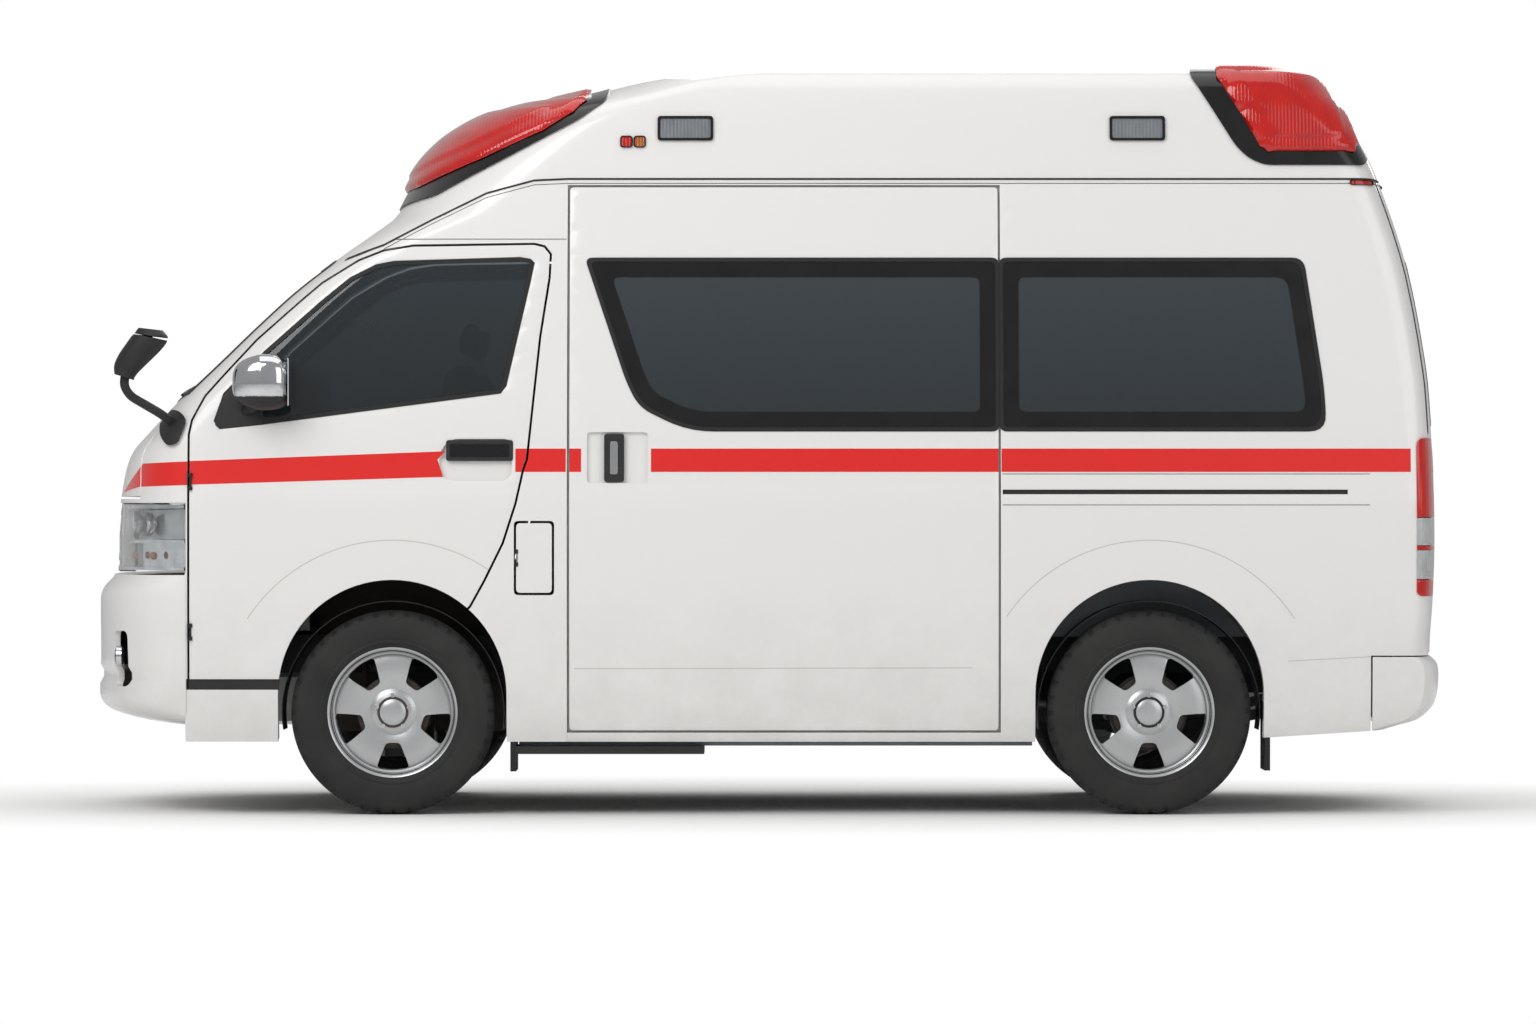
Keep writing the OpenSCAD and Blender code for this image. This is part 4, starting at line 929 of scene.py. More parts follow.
for side in (-1, 1):
    word = sideWord[side]
    door = outlines["door"]
    nose = film(word + "FenderStripe", side, 0.45, 1.3, [outlines["noseStripe"]], "body", cut=[door])
    frontCut(nose, outlines["bonnet"], -far, -1950)
    boxCut(nose, (-1962, -beside, 0), (0, beside, far))
    tip = film(word + "BonnetStripe", side, 0.3, 1.0, [outlines["noseStripe"]], "bonnet")
    frontCut(tip, grown(outlines["bonnet"], -gap), -far, -1950, 'INTERSECT')
    film(word + "DoorStripe", side, 0.9, 1.6, [outlines["doorStripe"], grown(door, -gap)],
         word + "_front_door")
    film(word + "DoorRearStripe", side, 1.0, 1.6, [outlines["shortStripe"], grown(door, -gap)],
         word + "_front_door")
    pillar = film(word + "PillarStripe", side, 1.0, 1.6, [outlines["shortStripe"]], "body", cut=[door])
    boxCut(pillar, (-679 if side < 0 else -500, -beside, 0), (0, beside, far))
    if side < 0:
        film("slideFrontStripe", side, 1.1, 1.6, [outlines["shortStripe"], grown(outlines["slide"], -gap)],
             "body")
        film("slideStripe", side, 1.1, 1.9, [outlines["longStripe"], grown(outlines["slide"], -gap)],
             "body")
        film("leftSideStripe", side, 1.5, 2.6, [outlines["longStripe"]], "body",
             cut=[grown(outlines["slide"], 2)])
    else:
        rest = [(-510, 1242), (2187, 1242), (2187, 1163), (-510, 1163)]
        film("rightSideStripe", side, 1.1, 2.6, [rest], "body")
    line = outlines["capLine"]
    upper = [(x, z + 3.2) for x, z in line] + [(x, z - 3.2) for x, z in reversed(line)]
    film(word + "RoofSeam", side, 0.75, 2.7, [upper], "body", sealRubber, lift=2.0, thickness=3.0,
         density=1.4)
    lower = [(x, z - 14) for x, z in line[1:]] + [(x, z - 16.4) for x, z in reversed(line[1:])]
    film(word + "RoofSeamLower", side, 0.75, 2.7, [lower], "body", darkTrim, lift=0.8, thickness=1.2,
         density=1.4)
    film(word + "BrowSeam", side, 0.85, 1.5, [[(-1300, 1957.5), (-679, 1957.5), (-679, 1955),
                                               (-1300, 1955)]], "body", darkTrim)
    film(word + "StepStrip", side, 0.9, 1.4, [[(-1958, 462), (-1640, 462), (-1640, 424), (-1958, 424)]],
         "body",
         blackPlastic, cut=[archOutline(frontAxleX, archRadius - 1)], lift=-6.0, thickness=14.0)
    film(word + "MirrorSail", side, 0.8, 1.4, [rounded(outlines["mirrorSail"], 15)], word + "_front_door",
                blackPlastic, lift=4.0, thickness=9.0)

rearStripe = rearSheet("tailgateStripe", 1155, 1250, 1.0, -0.7, 20)
boxCut(rearStripe, (0, -beside, 1163), (far, beside, 1242), 'INTERSECT')
cutWith(rearStripe, prism("cutter", gateOutline(gap), "side", -1.5, 1.5), 'DIFFERENCE')
boxCut(rearStripe, (0, -gatePanel["halfWidth"], 0), (far, gatePanel["halfWidth"], far), 'INTERSECT')
finishPiece(rearStripe, "tailgate", redFilm)

screenSeal = sheetOf("windscreenSeal", spaced(-1.1, 1.1, 120), levels(1380, 1925, 18))
thicken(screenSeal, 6, -3)
frontCut(screenSeal, grown(outlines["windscreen"], 9), -far, -1200, 'INTERSECT')
frontCut(screenSeal, grown(outlines["windscreen"], -24), -far, -1200)
finishPiece(screenSeal, "body", sealRubber)
gateSeal = rearSheet("tailgateGlassSeal", 1300, 1910, 7, -1.5, 24)
frontCut(gateSeal, rounded(grown(outlines["gateWindow"], 8), 24), 1500, far, 'INTERSECT')
frontCut(gateSeal, rounded(grown(outlines["gateWindow"], -20), 20), 1500, far)
finishPiece(gateSeal, "tailgate", sealRubber)
for side in (-1, 1):
    for name in ("frontPane", "rearPane"):
        word = ("left" if side < 0 else "right") + name[0].upper() + name[1:] + "Seal"
        ring = [rounded(grown(outlines[name], 5), 28)]
        film(word, side, 1.0, 2.4, ring, "body", sealRubber, [rounded(grown(outlines[name], -9), 22)], 1.8,
             4.0, 1.0)


def arcLine(centreX, radius, start, end, wide=3.4):  # the outline of a painted shade line, drawn where a pressed line about a wheel falls into shade
    angles = spaced(math.radians(start), math.radians(end), 28)
    centre = (centreX, tyreRadius)
    outer, inner = ([(centre[0] + r * math.cos(a), centre[1] + r * math.sin(a)) for a in angles]
                    for r in (radius + wide / 2, radius - wide / 2))
    return outer + inner[::-1]


# painted shade: thin films of slightly darker paint stand in for the shade in the pressed lines about the
# wheels and along the sills
for side in (-1, 1):
    word = sideWord[side]
    door = outlines["door"]
    front = arcLine(frontAxleX, 585, 48, 147)
    film(word + "DoorArchCrease", side, 0.9, 1.6, [front, grown(door, -gap)], word + "_front_door",
         paintedCreaseShade, (), 0.5, 0.8)
    film(word + "ArchCrease", side, 1.4, 2.6, [arcLine(rearAxleX, 585, 33, 146)], "body", paintedCreaseShade, [],
         0.5, 0.8)
    film(word + "SillCrease", side, 1.0, 1.8, [[(-650, 497), (700, 500), (700, 497), (-650, 494)]], "body",
         paintedCreaseShade, (), 0.5, 0.8)
    film(word + "RearSillCrease", side, 1.9, 2.4, [[(1720, 520), (2050, 538), (2050, 535), (1720, 517)]],
         "body", paintedCreaseShade,
         (), 0.5, 0.8)
print("stripes and seals made")


# roof beacons: a black base on the skin and a swollen red lens
def distanceInside(outline, x, z):
    best = 1e9
    for (ax, az), (bx, bz) in zip(outline, outline[1:] + outline[:1]):
        length = (bx - ax) ** 2 + (bz - az) ** 2 or 1
        t = max(0.0, min(1.0, ((x - ax) * (bx - ax) + (z - az) * (bz - az)) / length))
        best = min(best, math.hypot(x - ax - t * (bx - ax), z - az - t * (bz - az)))
    return best


def swell(obj, outline, height, rim, step=0.0, stepAt=48):
    # the outer face rises in a quarter round from its edge, with a second facet further in
    normals = [vertex.normal.copy() for vertex in obj.data.vertices]
    for vertex, normal in zip(obj.data.vertices, normals):
        if normal.y * vertex.co.y + normal.z * (vertex.co.z - 1.5) <= 0:
            continue
        reach = distanceInside(outline, vertex.co.x * 1000, vertex.co.z * 1000)
        rise = height * math.sqrt(1 - (1 - min(reach / rim, 1)) ** 2)
        inner = min(max((reach - stepAt) / 9, 0), 1)
        vertex.co += normal * (rise + step * inner * inner * (3 - 2 * inner)) * mm


beacon = {"baseRise": 7, "lensRise": 16, "rim": 18, "facet": 7}
frontBase = sheetOf("frontBeaconBase", spaced(-1.45, 1.45, 130), spaced(2040, 2130, 8)[:-1] + roofLevels)
thicken(frontBase, 7.2, -beacon["baseRise"])
sideCut(frontBase, rounded(outlines["frontBeacon"], 24), 0, 'INTERSECT')
smooth(frontBase)
bases = [frontBase]
lenses = []
for side in (-1, 1):
    low, high = (-1.45, -0.02) if side < 0 else (0.02, 1.45)
    lens = sheetOf("frontLens", spaced(low, high, 96), spaced(2080, 2520, 52))
    thicken(lens, 2.5, -beacon["baseRise"] - 3)
    outline = rounded(outlines["frontLens"], 22)
    sideCut(lens, outline, side, 'INTERSECT')
    boxCut(lens, (-far, -150, 0), (far, 150, far))
    # the upper ends of the outline lie beyond the roof, so only its lower edge rounds the lens
    swell(lens, [(-1400, 2132), (-1202, 2151), (-976, 2238), (-763, 2333), (-663, 2396), (-613, 2446),
                 (-613, 2450), (-1400, 2450)],
          beacon["lensRise"], beacon["rim"], beacon["facet"], 42)
    lenses.append(lens)
    low, high = (-2.75, -1.5) if side < 0 else (1.5, 2.75)
    base = sheetOf("rearBase", spaced(low, high, 90), spaced(2190, 2540, 34) + [2551, 2557, 2560.5, 2563])
    thicken(base, 7.2, -beacon["baseRise"])
    sideCut(base, rounded(outlines["rearBeacon"], 26), side, 'INTERSECT')
    boxCut(base, (0, -430, 0), (far, 430, far))
    smooth(base)
    bases.append(base)
    lens = sheetOf("rearLens", spaced(low, high, 110), spaced(2240, 2540, 48) + [2551, 2557, 2560.5, 2563])
    thicken(lens, 2.5, -beacon["baseRise"] - 3)
    outline = rounded(outlines["rearLens"], 20)
    sideCut(lens, outline, side, 'INTERSECT')
    boxCut(lens, (0, -480, 0), (far, 480, far))
    swell(lens, [(1546, 2515), (1546, 2570), (1950, 2570), (2024, 2290), (2007, 2259), (1714, 2259),
                 (1686, 2279)],
          beacon["lensRise"], beacon["rim"], beacon["facet"], 44)
    lenses.append(lens)
base = joinAll("beaconBase", bases)
dress(base, "body", glossBlack, "beacon_bases")
lens = joinAll("beaconLens", lenses)
finishPiece(lens, "body", redLens, "beacon_lenses", angle=40)


# flashers and markers on the cap: a frame and a lens each
def smallLamp(name, side, sLow, sHigh, x0, x1, z0, z1, lens, rim=9, rise=9):
    box = [(x0, z0), (x1, z0), (x1, z1), (x0, z1)]
    frame = film(name + "Frame", side, sLow, sHigh, [rounded(box, 12)], "body", glossBlack,
                 [rounded(grown(box, -rim), 8)], rise, rise + 3, 3.0)
    softenRim(frame, 0.002)
    film(name + "Lens", side, sLow, sHigh, [rounded(grown(box, -rim + 0.5), 8)], "body", lens, (), rise - 4,
         rise - 2, 3.0)


for side in (-1, 1):
    word = sideWord[side]
    smallLamp(word + "FrontFlasher", side, 0.8, 1.7, -370, -180, 2295, 2380, smokedLens)
    smallLamp(word + "RearFlasher", side, 1.6, 2.3, 1173, 1363, 2295, 2380, smokedLens)
    smallLamp(word + "CapMarker", side, 1.0, 1.6, -498, -455, 2271, 2312, redLens, 4, 7)
    smallLamp(word + "CapMarkerAmber", side, 1.0, 1.6, -452, -410, 2271, 2312, amberLens, 4, 7)
    smallLamp(word + "TailMarker", side, 1.9, 2.5, 1990, 2078, 2142, 2160, redLens, 2.5, 6)
print("beacons made")

# tail lamps, in segments from the bottom up
for side in (-1, 1):
    word = sideWord[side]
    for part, (z0, z1, lens) in {"Foot": (742, 797, redLens), "Reverse": (800, 897, whiteLens),
                                 "Bar": (899, 912, redLens),
                                 "Turn": (914, 1007, whiteLens), "Stop": (1010, 1278, redLens)}.items():
        low, high = (-2.8, -1.9) if side < 0 else (1.9, 2.8)
        piece = sheetOf(word + "Tail" + part, spaced(low, high, 90),
                        spaced(z0 - 5, z1 + 5, max(int((z1 - z0) / 10), 5)))
        thicken(piece, 26, -4)
        sideCut(piece, rounded(outlines["tailLamp"], 20), side, 'INTERSECT')
        boxCut(piece, (0, -beside, z0), (far, beside, z1), 'INTERSECT')
        boxCut(piece, (0, -800, 0), (far, 800, far))
        finishPiece(piece, "body", lens, *(["tail_lamps"] if part == "Stop" else []), rim=0.0025)
print("tail lamps made")


# round parts: a flat grid rolled about an axis along Y, from a profile of radius and offset
def turned(name, profile, steps, closed=True, shape=None):
    rows = profile + profile[:1] if closed else profile
    deselectAll()
    bpy.ops.mesh.primitive_grid_add(x_subdivisions=steps, y_subdivisions=len(rows) - 1, size=2)
    obj = bpy.context.object
    obj.name = name
    for vertex in obj.data.vertices:
        column = round((vertex.co.x + 1) / 2 * steps)
        row = round((vertex.co.y + 1) / 2 * (len(rows) - 1))
        radius, offset = rows[row]
        turn = 2 * math.pi * (column % steps) / steps
        if shape:
            radius, offset = shape(radius, offset, column % steps)
        vertex.co = (radius * math.cos(turn) * mm, offset * mm, radius * math.sin(turn) * mm)
    tidyNormals(obj)
    return obj


def atPlace(obj, place, name, turn=(0, 0, 0)):
    obj.location = place
    obj.rotation_euler = turn
    return settle(obj, name)


def tube(name, points, radius, sides=14, smoothing=4):
    # a round bar along a curve through the points, closed at both ends
    path = []
    for i in range(len(points) - 1):
        a, b, c, d = points[max(i - 1, 0)], points[i], points[i + 1], points[min(i + 2, len(points) - 1)]
        for k in range(smoothing):
            t = k / smoothing
            path.append([0.5 * (2 * b[n] + (c[n] - a[n]) * t
                                + (2 * a[n] - 5 * b[n] + 4 * c[n] - d[n]) * t * t
                                + (3 * b[n] - a[n] - 3 * c[n] + d[n]) * t ** 3) for n in range(3)])
    path.append(list(points[-1]))
    deselectAll()
    bpy.ops.mesh.primitive_grid_add(x_subdivisions=sides, y_subdivisions=len(path) + 1, size=2)
    obj = bpy.context.object
    obj.name = name
    for vertex in obj.data.vertices:
        column = round((vertex.co.x + 1) / 2 * sides) % sides
        row = round((vertex.co.y + 1) / 2 * (len(path) + 1))
        here = min(max(row - 1, 0), len(path) - 1)
        ahead, behind = path[min(here + 1, len(path) - 1)], path[max(here - 1, 0)]
        along = Vector(ahead) - Vector(behind)
        across = along.cross((0, 0, 1)) if abs(along.normalized().z) < 0.95 else along.cross((1, 0, 0))
        across.normalize()
        up = across.cross(along).normalized()
        wide = 0 if row in (0, len(path) + 1) else radius
        turn = 2 * math.pi * column / sides
        vertex.co = Vector(path[here]) + (across * math.cos(turn) + up * math.sin(turn)) * wide
    tidyNormals(obj)
    smooth(obj, 50)
    return obj


wheel = {"treadSteps": 320, "slotFrom": 54, "slotRadius": 330, "slotDepth": 6, "spokes": 5,
         "rimScale": 1.043}


def treadShape(radius, offset, column):  # slots across the shoulders
    if abs(offset) > wheel["slotFrom"] and radius > wheel["slotRadius"] and column % 8 < 2:
        return radius - wheel["slotDepth"], offset
    return radius, offset


tread = [(84, 332), (76, 339), (66, 343.6), (60, 344.6), (53, 345.2), (52, 337.5), (45, 337.5), (44, 345.8),
         (27, 346.3),
         (26, 338.5), (19, 338.5), (18, 346.5)]
sideWall = [(70, 205), (80.8, 221.2), (85.5, 228), (90, 235), (92.5, 240), (91.5, 246), (95.5, 256),
            (97.2, 270), (98, 284),
            (97, 300), (94, 316)]
outerHalf = sideWall + [(90, 325)] + tread
tyreProfile = [(r, -y) for y, r in outerHalf] + [(r, y) for y, r in reversed(outerHalf)]
tyre = turned("tyre", tyreProfile, wheel["treadSteps"], True, treadShape)
smooth(tyre, 28)

discProfile = [(0, 66), (20, 66), (34, 64), (42, 60), (44, 52), (62, 50), (68, 47), (76, 42), (90, 46),
               (120, 50), (150, 51),
               (176, 49), (190, 44), (197, 50), (200, 66), (203, 76), (207, 80), (211.8, 82.6), (212.6, 81),
               (211.6, 79),
               (197.8, 71), (196, 40), (196, -70), (210, -81), (206, -82), (190, -74), (188, 20), (170, 30),
               (100, 32), (60, 30),
               (0, 30)]
rim = turned("rim", [(r * wheel["rimScale"], y) for r, y in discProfile], 160, True)
for k in range(wheel["spokes"]):
    middle = math.radians(-90 + 72 * k)
    window = [(104, -24), (150, -43), (176, -52), (182, -46), (187, -30), (189, 0), (187, 30), (182, 46),
              (176, 52), (150, 43),
              (104, 24), (100, 14), (100, -14)]
    outline = [(r * math.cos(middle) - t * math.sin(middle),
                r * math.sin(middle) + t * math.cos(middle)) for r, t in window]
    cutWith(rim, prism("cutter", rounded([(x * wheel["rimScale"], z * wheel["rimScale"]) for x,
                                          z in outline], 6, 3), "side", 0.0, 0.12), 'DIFFERENCE')
useModifier(rim, 'BEVEL', width=0.0035, segments=3, limit_method='ANGLE', angle_limit=math.radians(55))
smooth(rim, 35)
nuts = []
for k in range(wheel["spokes"]):
    turn = math.radians(90 + 72 * k)
    nut = rodPiece("nut", (0.058 * math.cos(turn), 0.046, 0.058 * math.sin(turn)),
                   (0.058 * math.cos(turn), 0.062, 0.058 * math.sin(turn)), 0.009, 6, 0.0015)
    nuts.append(nut)
nuts = joinAll("wheelNuts", nuts)
disc = turned("brakeDisc", [(0, 16), (122, 16), (122, 12), (0, 12)], 64, True)
for axle, axleX in (("front", frontAxleX), ("rear", rearAxleX)):
    for side, word in ((-1, "left"), (1, "right")):
        body = axle + "_" + word + "_wheel"
        place = (axleX * mm, side * halfTrack * mm, tyreRadius * mm)
        for original, name, material, replaced in (
                (tyre, "Tyre", tyreRubber, [axle + "_" + word + "_tyre"]),
                                                   (rim, "Rim", silverLacquer,
                                                    [axle + "_" + word + "_rim"]),
                (nuts, "Nuts", chromePlate, []), (disc, "Backplate", castIron, [])):
            piece = mirrored(original, "piece") if side < 0 else copyOf(original, "piece")
            dress(atPlace(piece, place, axle + word.capitalize() + name), body, material, *replaced)
for original in (tyre, rim, nuts, disc):
    bpy.data.objects.remove(original, do_unlink=True)
print("wheels made")

# door mirrors, under mirror and their glass
mirror = {"x": -1706, "z": 1461, "half": (98, 92, 100), "cutX": -1613}
for side, word in ((-1, "left"), (1, "right")):
    body = word + "_front_door"
    y = side * 990
    deselectAll()
    bpy.ops.mesh.primitive_cube_add(size=2)
    shell = bpy.context.object
    useModifier(shell, 'SUBSURF', subdivision_type='SIMPLE', levels=5, render_levels=5)
    for vertex in shell.data.vertices:
        x, w, z = vertex.co
        n = (abs(x) ** 3.2 + abs(w) ** 3.2 + abs(z) ** 3.2) ** (1 / 3.2)
        taper = 1 - 0.22 * max(-x / n, 0) - 0.1 * max(-z / n, 0)
        vertex.co = ((mirror["x"] + mirror["half"][0] * x / n) * mm,
                     (y + mirror["half"][1] * w / n * taper) * mm,
                     (mirror["z"] + mirror["half"][2] * z / n * taper) * mm)
    settle(shell, word + "MirrorShell")
    boxCut(shell, (mirror["cutX"], -beside, 1300), (-1400, beside, 1700))
    band = copyOf(shell, word + "MirrorBand")
    boxCut(shell, (-1900, -beside, 1200), (-1500, beside, 1416))
    boxCut(band, (-1900, -beside, 1419), (-1500, beside, 1700))
    for piece, material, replaced in ((shell, chromePlate, [word + "_door_mirror"]),
                                      (band, blackPlastic, [])):
        finishPiece(piece, body, material, *replaced, rim=0.004, angle=40)
    glass = boxPiece(word + "MirrorGlass", (-1.6135, y * mm - 0.074, 1.385),
                     (-1.6095, y * mm + 0.074, 1.545), 0.0015)
    dress(glass, body, mirrorGlass)
    foot = tube(word + "MirrorFoot", [(-1.775, side * 0.872, 1.362), (-1.765, side * 0.9, 1.37),
                                      (-1.745, side * 0.93, 1.385),
                                      (-1.72, side * 0.96, 1.4)], 0.024)
    dress(foot, body, blackPlastic)

plate = film("underMirrorPlate", -1, 0.6, 1.2, [rounded(outlines["underPlate"], 25)], "body", blackPlastic,
             (), 13.0, 13.0, 3.0)
boxCut(plate, (-far, -beside, 0), (0, -776, far), 'INTERSECT')
softenRim(plate, 0.004)
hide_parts("under_mirror")
arm = tube("underMirrorArm", [(-2.012, -0.842, 1.318), (-2.03, -0.862, 1.338), (-2.06, -0.876, 1.362),
                              (-2.115, -0.89, 1.395),
                              (-2.155, -0.896, 1.42), (-2.176, -0.898, 1.45), (-2.178, -0.898, 1.48),
                              (-2.168, -0.898, 1.52)], 0.0155)
dress(arm, "body", blackPlastic)
head = tube("underMirrorHead", [(-2.178, -0.898, 1.485), (-2.168, -0.898, 1.51), (-2.145, -0.898, 1.545),
                                (-2.118, -0.898, 1.585),
                                (-2.098, -0.898, 1.62), (-2.092, -0.898, 1.648)], 0.03, 24, 6)
for vertex in head.data.vertices:
    t = (vertex.co.z - 1.485) / 0.163
    wide = 0.75 + 0.6 * math.sin(math.pi * min(max(t, 0), 1) * 0.62) - 0.35 * max(t - 0.85, 0) / 0.15
    vertex.co.y = -0.898 + (vertex.co.y + 0.898) * wide * 1.75
    middleX = -2.178 + 0.088 * min(max(t, 0), 1) ** 0.9
    vertex.co.x = middleX + (vertex.co.x - middleX) * wide * 1.45
dress(head, "body", blackPlastic)
print("mirrors made")

# handles, fuel lid and small trim
for side, word in ((-1, "left"), (1, "right")):
    body = word + "_front_door"
    film(word + "HandleDish", side, 1.0, 1.6, [rounded(grown(outlines["doorRecess"], 1), 28)], body,
         whitePaint, (), -14.0, 16.0, 3.0)
    bar = [(-1085, 1271), (-858, 1271), (-858, 1200), (-1085, 1200)]
    handle = film(word + "DoorHandle", side, 1.0, 1.6, [rounded(bar, 10)], body, blackPlastic, (), 3.0,
                  11.0, 3.0)
    softenRim(handle, 0.003)
    grip = film(word + "DoorHandleGrip", side, 1.0, 1.6, [rounded(grown(bar, -13), 8)], body, glossBlack,
                (), 5.0, 3.0, 3.0)
    softenRim(grip, 0.001)
film("slideHandleDish", -1, 1.2, 1.7, [rounded(grown(outlines["slideRecess"], 1), 13)], "body", whitePaint,
     (), -14.0, 16.0, 3.0)
slideBar = [(-549, 1292), (-481, 1292), (-481, 1129), (-549, 1129)]
softenRim(film("slideHandle", -1, 1.2, 1.7, [rounded(slideBar, 10)], "body", blackPlastic, (), 3.0, 11.0,
               3.0), 0.003)
softenRim(film("slideHandleInsert", -1, 1.2, 1.7,
               [rounded([(-529, 1266), (-503, 1266), (-503, 1155), (-529, 1155)], 8)],
               "body", chromePlate, (), 6.0, 4.0, 4.0), 0.001)
lid = film("fuelLid", -1, 1.0, 1.6, [rounded(grown(outlines["fuelLid"], -4), 14)], "fuel_lid", whitePaint,
           (), 0.0, 5.0, 3.0)
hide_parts("fuel_lid")
softenRim(lid, 0.001)
film("slideRailChannel", -1, 1.5, 2.6, [[(803, 1102), (1973, 1102), (1973, 1088), (803, 1088)]], "body",
     blackPlastic,
               (), -8.0, 6.0)
# painted shade: two thin dark grey films stand in for the shade in the pressed lines above and below the
# rail
for z in (1156, 1051):
    film("railCrease", -1, 1.5, 2.6, [[(803, z + 1.2), (2048, z + 1.2), (2048, z - 1.2), (803, z - 1.2)]],
         "body", darkTrim,
         (), 0.5, 0.9)


def frontX(y, z):  # how far forward the skin reaches at a width and height
    low, high = 0.0, 1.6
    for _ in range(24):
        middle = (low + high) / 2
        if skinPoint(middle, z)[1] < y * mm:
            low = middle
        else:
            high = middle
    return skinPoint(low, z)[0]


# headlamps: bowl housing, reflectors, divider, bulbs and outer lens
lampRear = -1974
lampStep = 12
for side, word in ((-1, "left"), (1, "right")):
    low, high = (-1.22, -0.35) if side < 0 else (0.35, 1.22)

    def lampSheet(name, z0, z1, thickness, sink, inner, outer, material, replaced=()):
        piece = sheetOf(name, spaced(low, high, 80), spaced(z0, z1, max(int((z1 - z0) / lampStep), 3)))
        thicken(piece, thickness, sink)
        boxCut(piece, (-far, min(side * inner, side * outer), 0),
               (lampRear, max(side * inner, side * outer), far), 'INTERSECT')
        return finishPiece(piece, "body", material, *replaced)

    softenRim(lampSheet(word + "HeadlampLens", 828, 1054, 4, 1, 568, 938, clearLens,
                        replaced=["headlamps"]), 0.001)
    for name, z0, z1, thickness, sink, inner, outer, material in (
            ("Housing", 826, 1056, 6, 86, 569, 937, glossBlack),
            ("Divider", 920, 932, 46, 26, 575, 932, chromePlate),
            ("TopBezel", 1040, 1052, 40, 12, 572, 934, silverLacquer),
            ("FootBezel", 829, 838, 40, 12, 572, 934, chromePlate),
            ("Upper", 934, 1038, 3, 60, 576, 930, silverLacquer),
            ("Lower", 838, 920, 3, 56, 576, 930, chromePlate)):
        lampSheet(word + "Headlamp" + name, z0, z1, thickness, sink, inner, outer, material)
    for y, z, size in ((690, 985, 46), (815, 985, 42)):
        bowl = turned("bowl", [(size, 0), (size - 3, 0), (size - 8, 14), (12, 30), (0, 32), (0, 35),
                               (14, 33), (size - 5, 17),
                               (size, 3)], 48)
        atPlace(bowl, (frontX(y, z) + 0.03, side * y * mm, z * mm), word + "HeadlampBowl%d" % y,
                (0, 0, -math.pi / 2))
        finishPiece(bowl, "body", chromePlate, angle=50)
    for y, z in ((700, 878), (850, 878)):
        bulb = turned("bulb", [(0, 26), (9, 24), (13, 16), (13, 8), (9, 1), (0, 0)], 24, False)
        atPlace(bulb, (frontX(y, z) + 0.045, side * y * mm, z * mm), word + "IndicatorBulb%d" % y,
                (0, 0, math.pi / 2))
        finishPiece(bulb, "body", amberLens, angle=60)
print("handles and headlamps made")

# fog lamps, grille backing, plates, wipers and the tailgate handle
for side, word in ((-1, "left"), (1, "right")):
    pod = turned("pod", [(36, 0), (34, 4), (30, 4), (27, 14), (10, 20), (0, 21), (0, 24), (28, 24),
                         (36, 18)], 40)
    smooth(pod, 50)
    dress(atPlace(pod, (-2.215, side * 0.79, 0.535), word + "FogLampBowl", (0, 0, -math.pi / 2)), "body",
          chromePlate)
    glass = turned("glass", [(0, -4), (16, -3), (26, -1), (32, 3), (32, 5), (26, 2), (16, 0), (0, -1)], 40,
                   False)
    smooth(glass, 50)
    dress(atPlace(glass, (-2.219, side * 0.79, 0.535), word + "FogLampGlass", (0, 0, -math.pi / 2)), "body",
          clearLens)
    recess = sheetOf(word + "FogLampRecess", spaced(-1.12, 1.12, 100), spaced(440, 614, 10), "bumper",
                     "tail")
    thicken(recess, 4, 40)
    frontCut(recess, rounded([(side * 749, 436), (side * 834, 436), (side * 834, 618), (side * 749, 618)],
                             22),
             -2600, -2000, 'INTERSECT')
    finishPiece(recess, "body", blackPlastic)
intake = sheetOf("bumperIntakeGrid", spaced(-1.12, 1.12, 100), spaced(508, 637, 12), "bumper", "tail")
thicken(intake, 5, 22)
frontCut(intake, rounded([(-428, 507), (428, 507), (428, 638), (-428, 638)], 36), -2600, -2000, 'INTERSECT')
finishPiece(intake, "body", blackPlastic)
backing = sheetOf("grilleBacking", spaced(-0.62, 0.62, 60), spaced(840, 1040, 10))
thicken(backing, 6, 60)
boxCut(backing, (-far, -550, 0), (far, 550, far), 'INTERSECT')
finishPiece(backing, "body", blackPlastic)
for name, z0, z1, wide, lift, thickness, material in (("rearPlate", 990, 1115, 165, 3.5, 4.0, plateEnamel),
                                                      ("tailgateHandle", 925, 968, 250, 9.0, 10.0,
                                                       chromePlate)):
    piece = rearSheet(name, z0 - 10, z1 + 10, thickness, -lift, 12)
    frontCut(piece, rounded([(-wide, z0), (wide, z0), (wide, z1), (-wide, z1)], 10), 1500, far, 'INTERSECT')
    finishPiece(piece, "tailgate", material, rim=0.001)
for name, points in (("wiperLeft", ((-0.62, 1425), (-0.3, 1452), (0.02, 1462))),
                     ("wiperRight", ((0.05, 1425), (0.35, 1450), (0.66, 1470)))):
    path = []
    for y, z in points:
        x = frontX(abs(y) * 1000, z)
        path.append((x - 0.006, y, z * mm + 0.004))
    blade = tube(name, path, 0.005, 8, 6)
    dress(blade, "body", blackPlastic)
print("fog lamps, plates and wipers made")

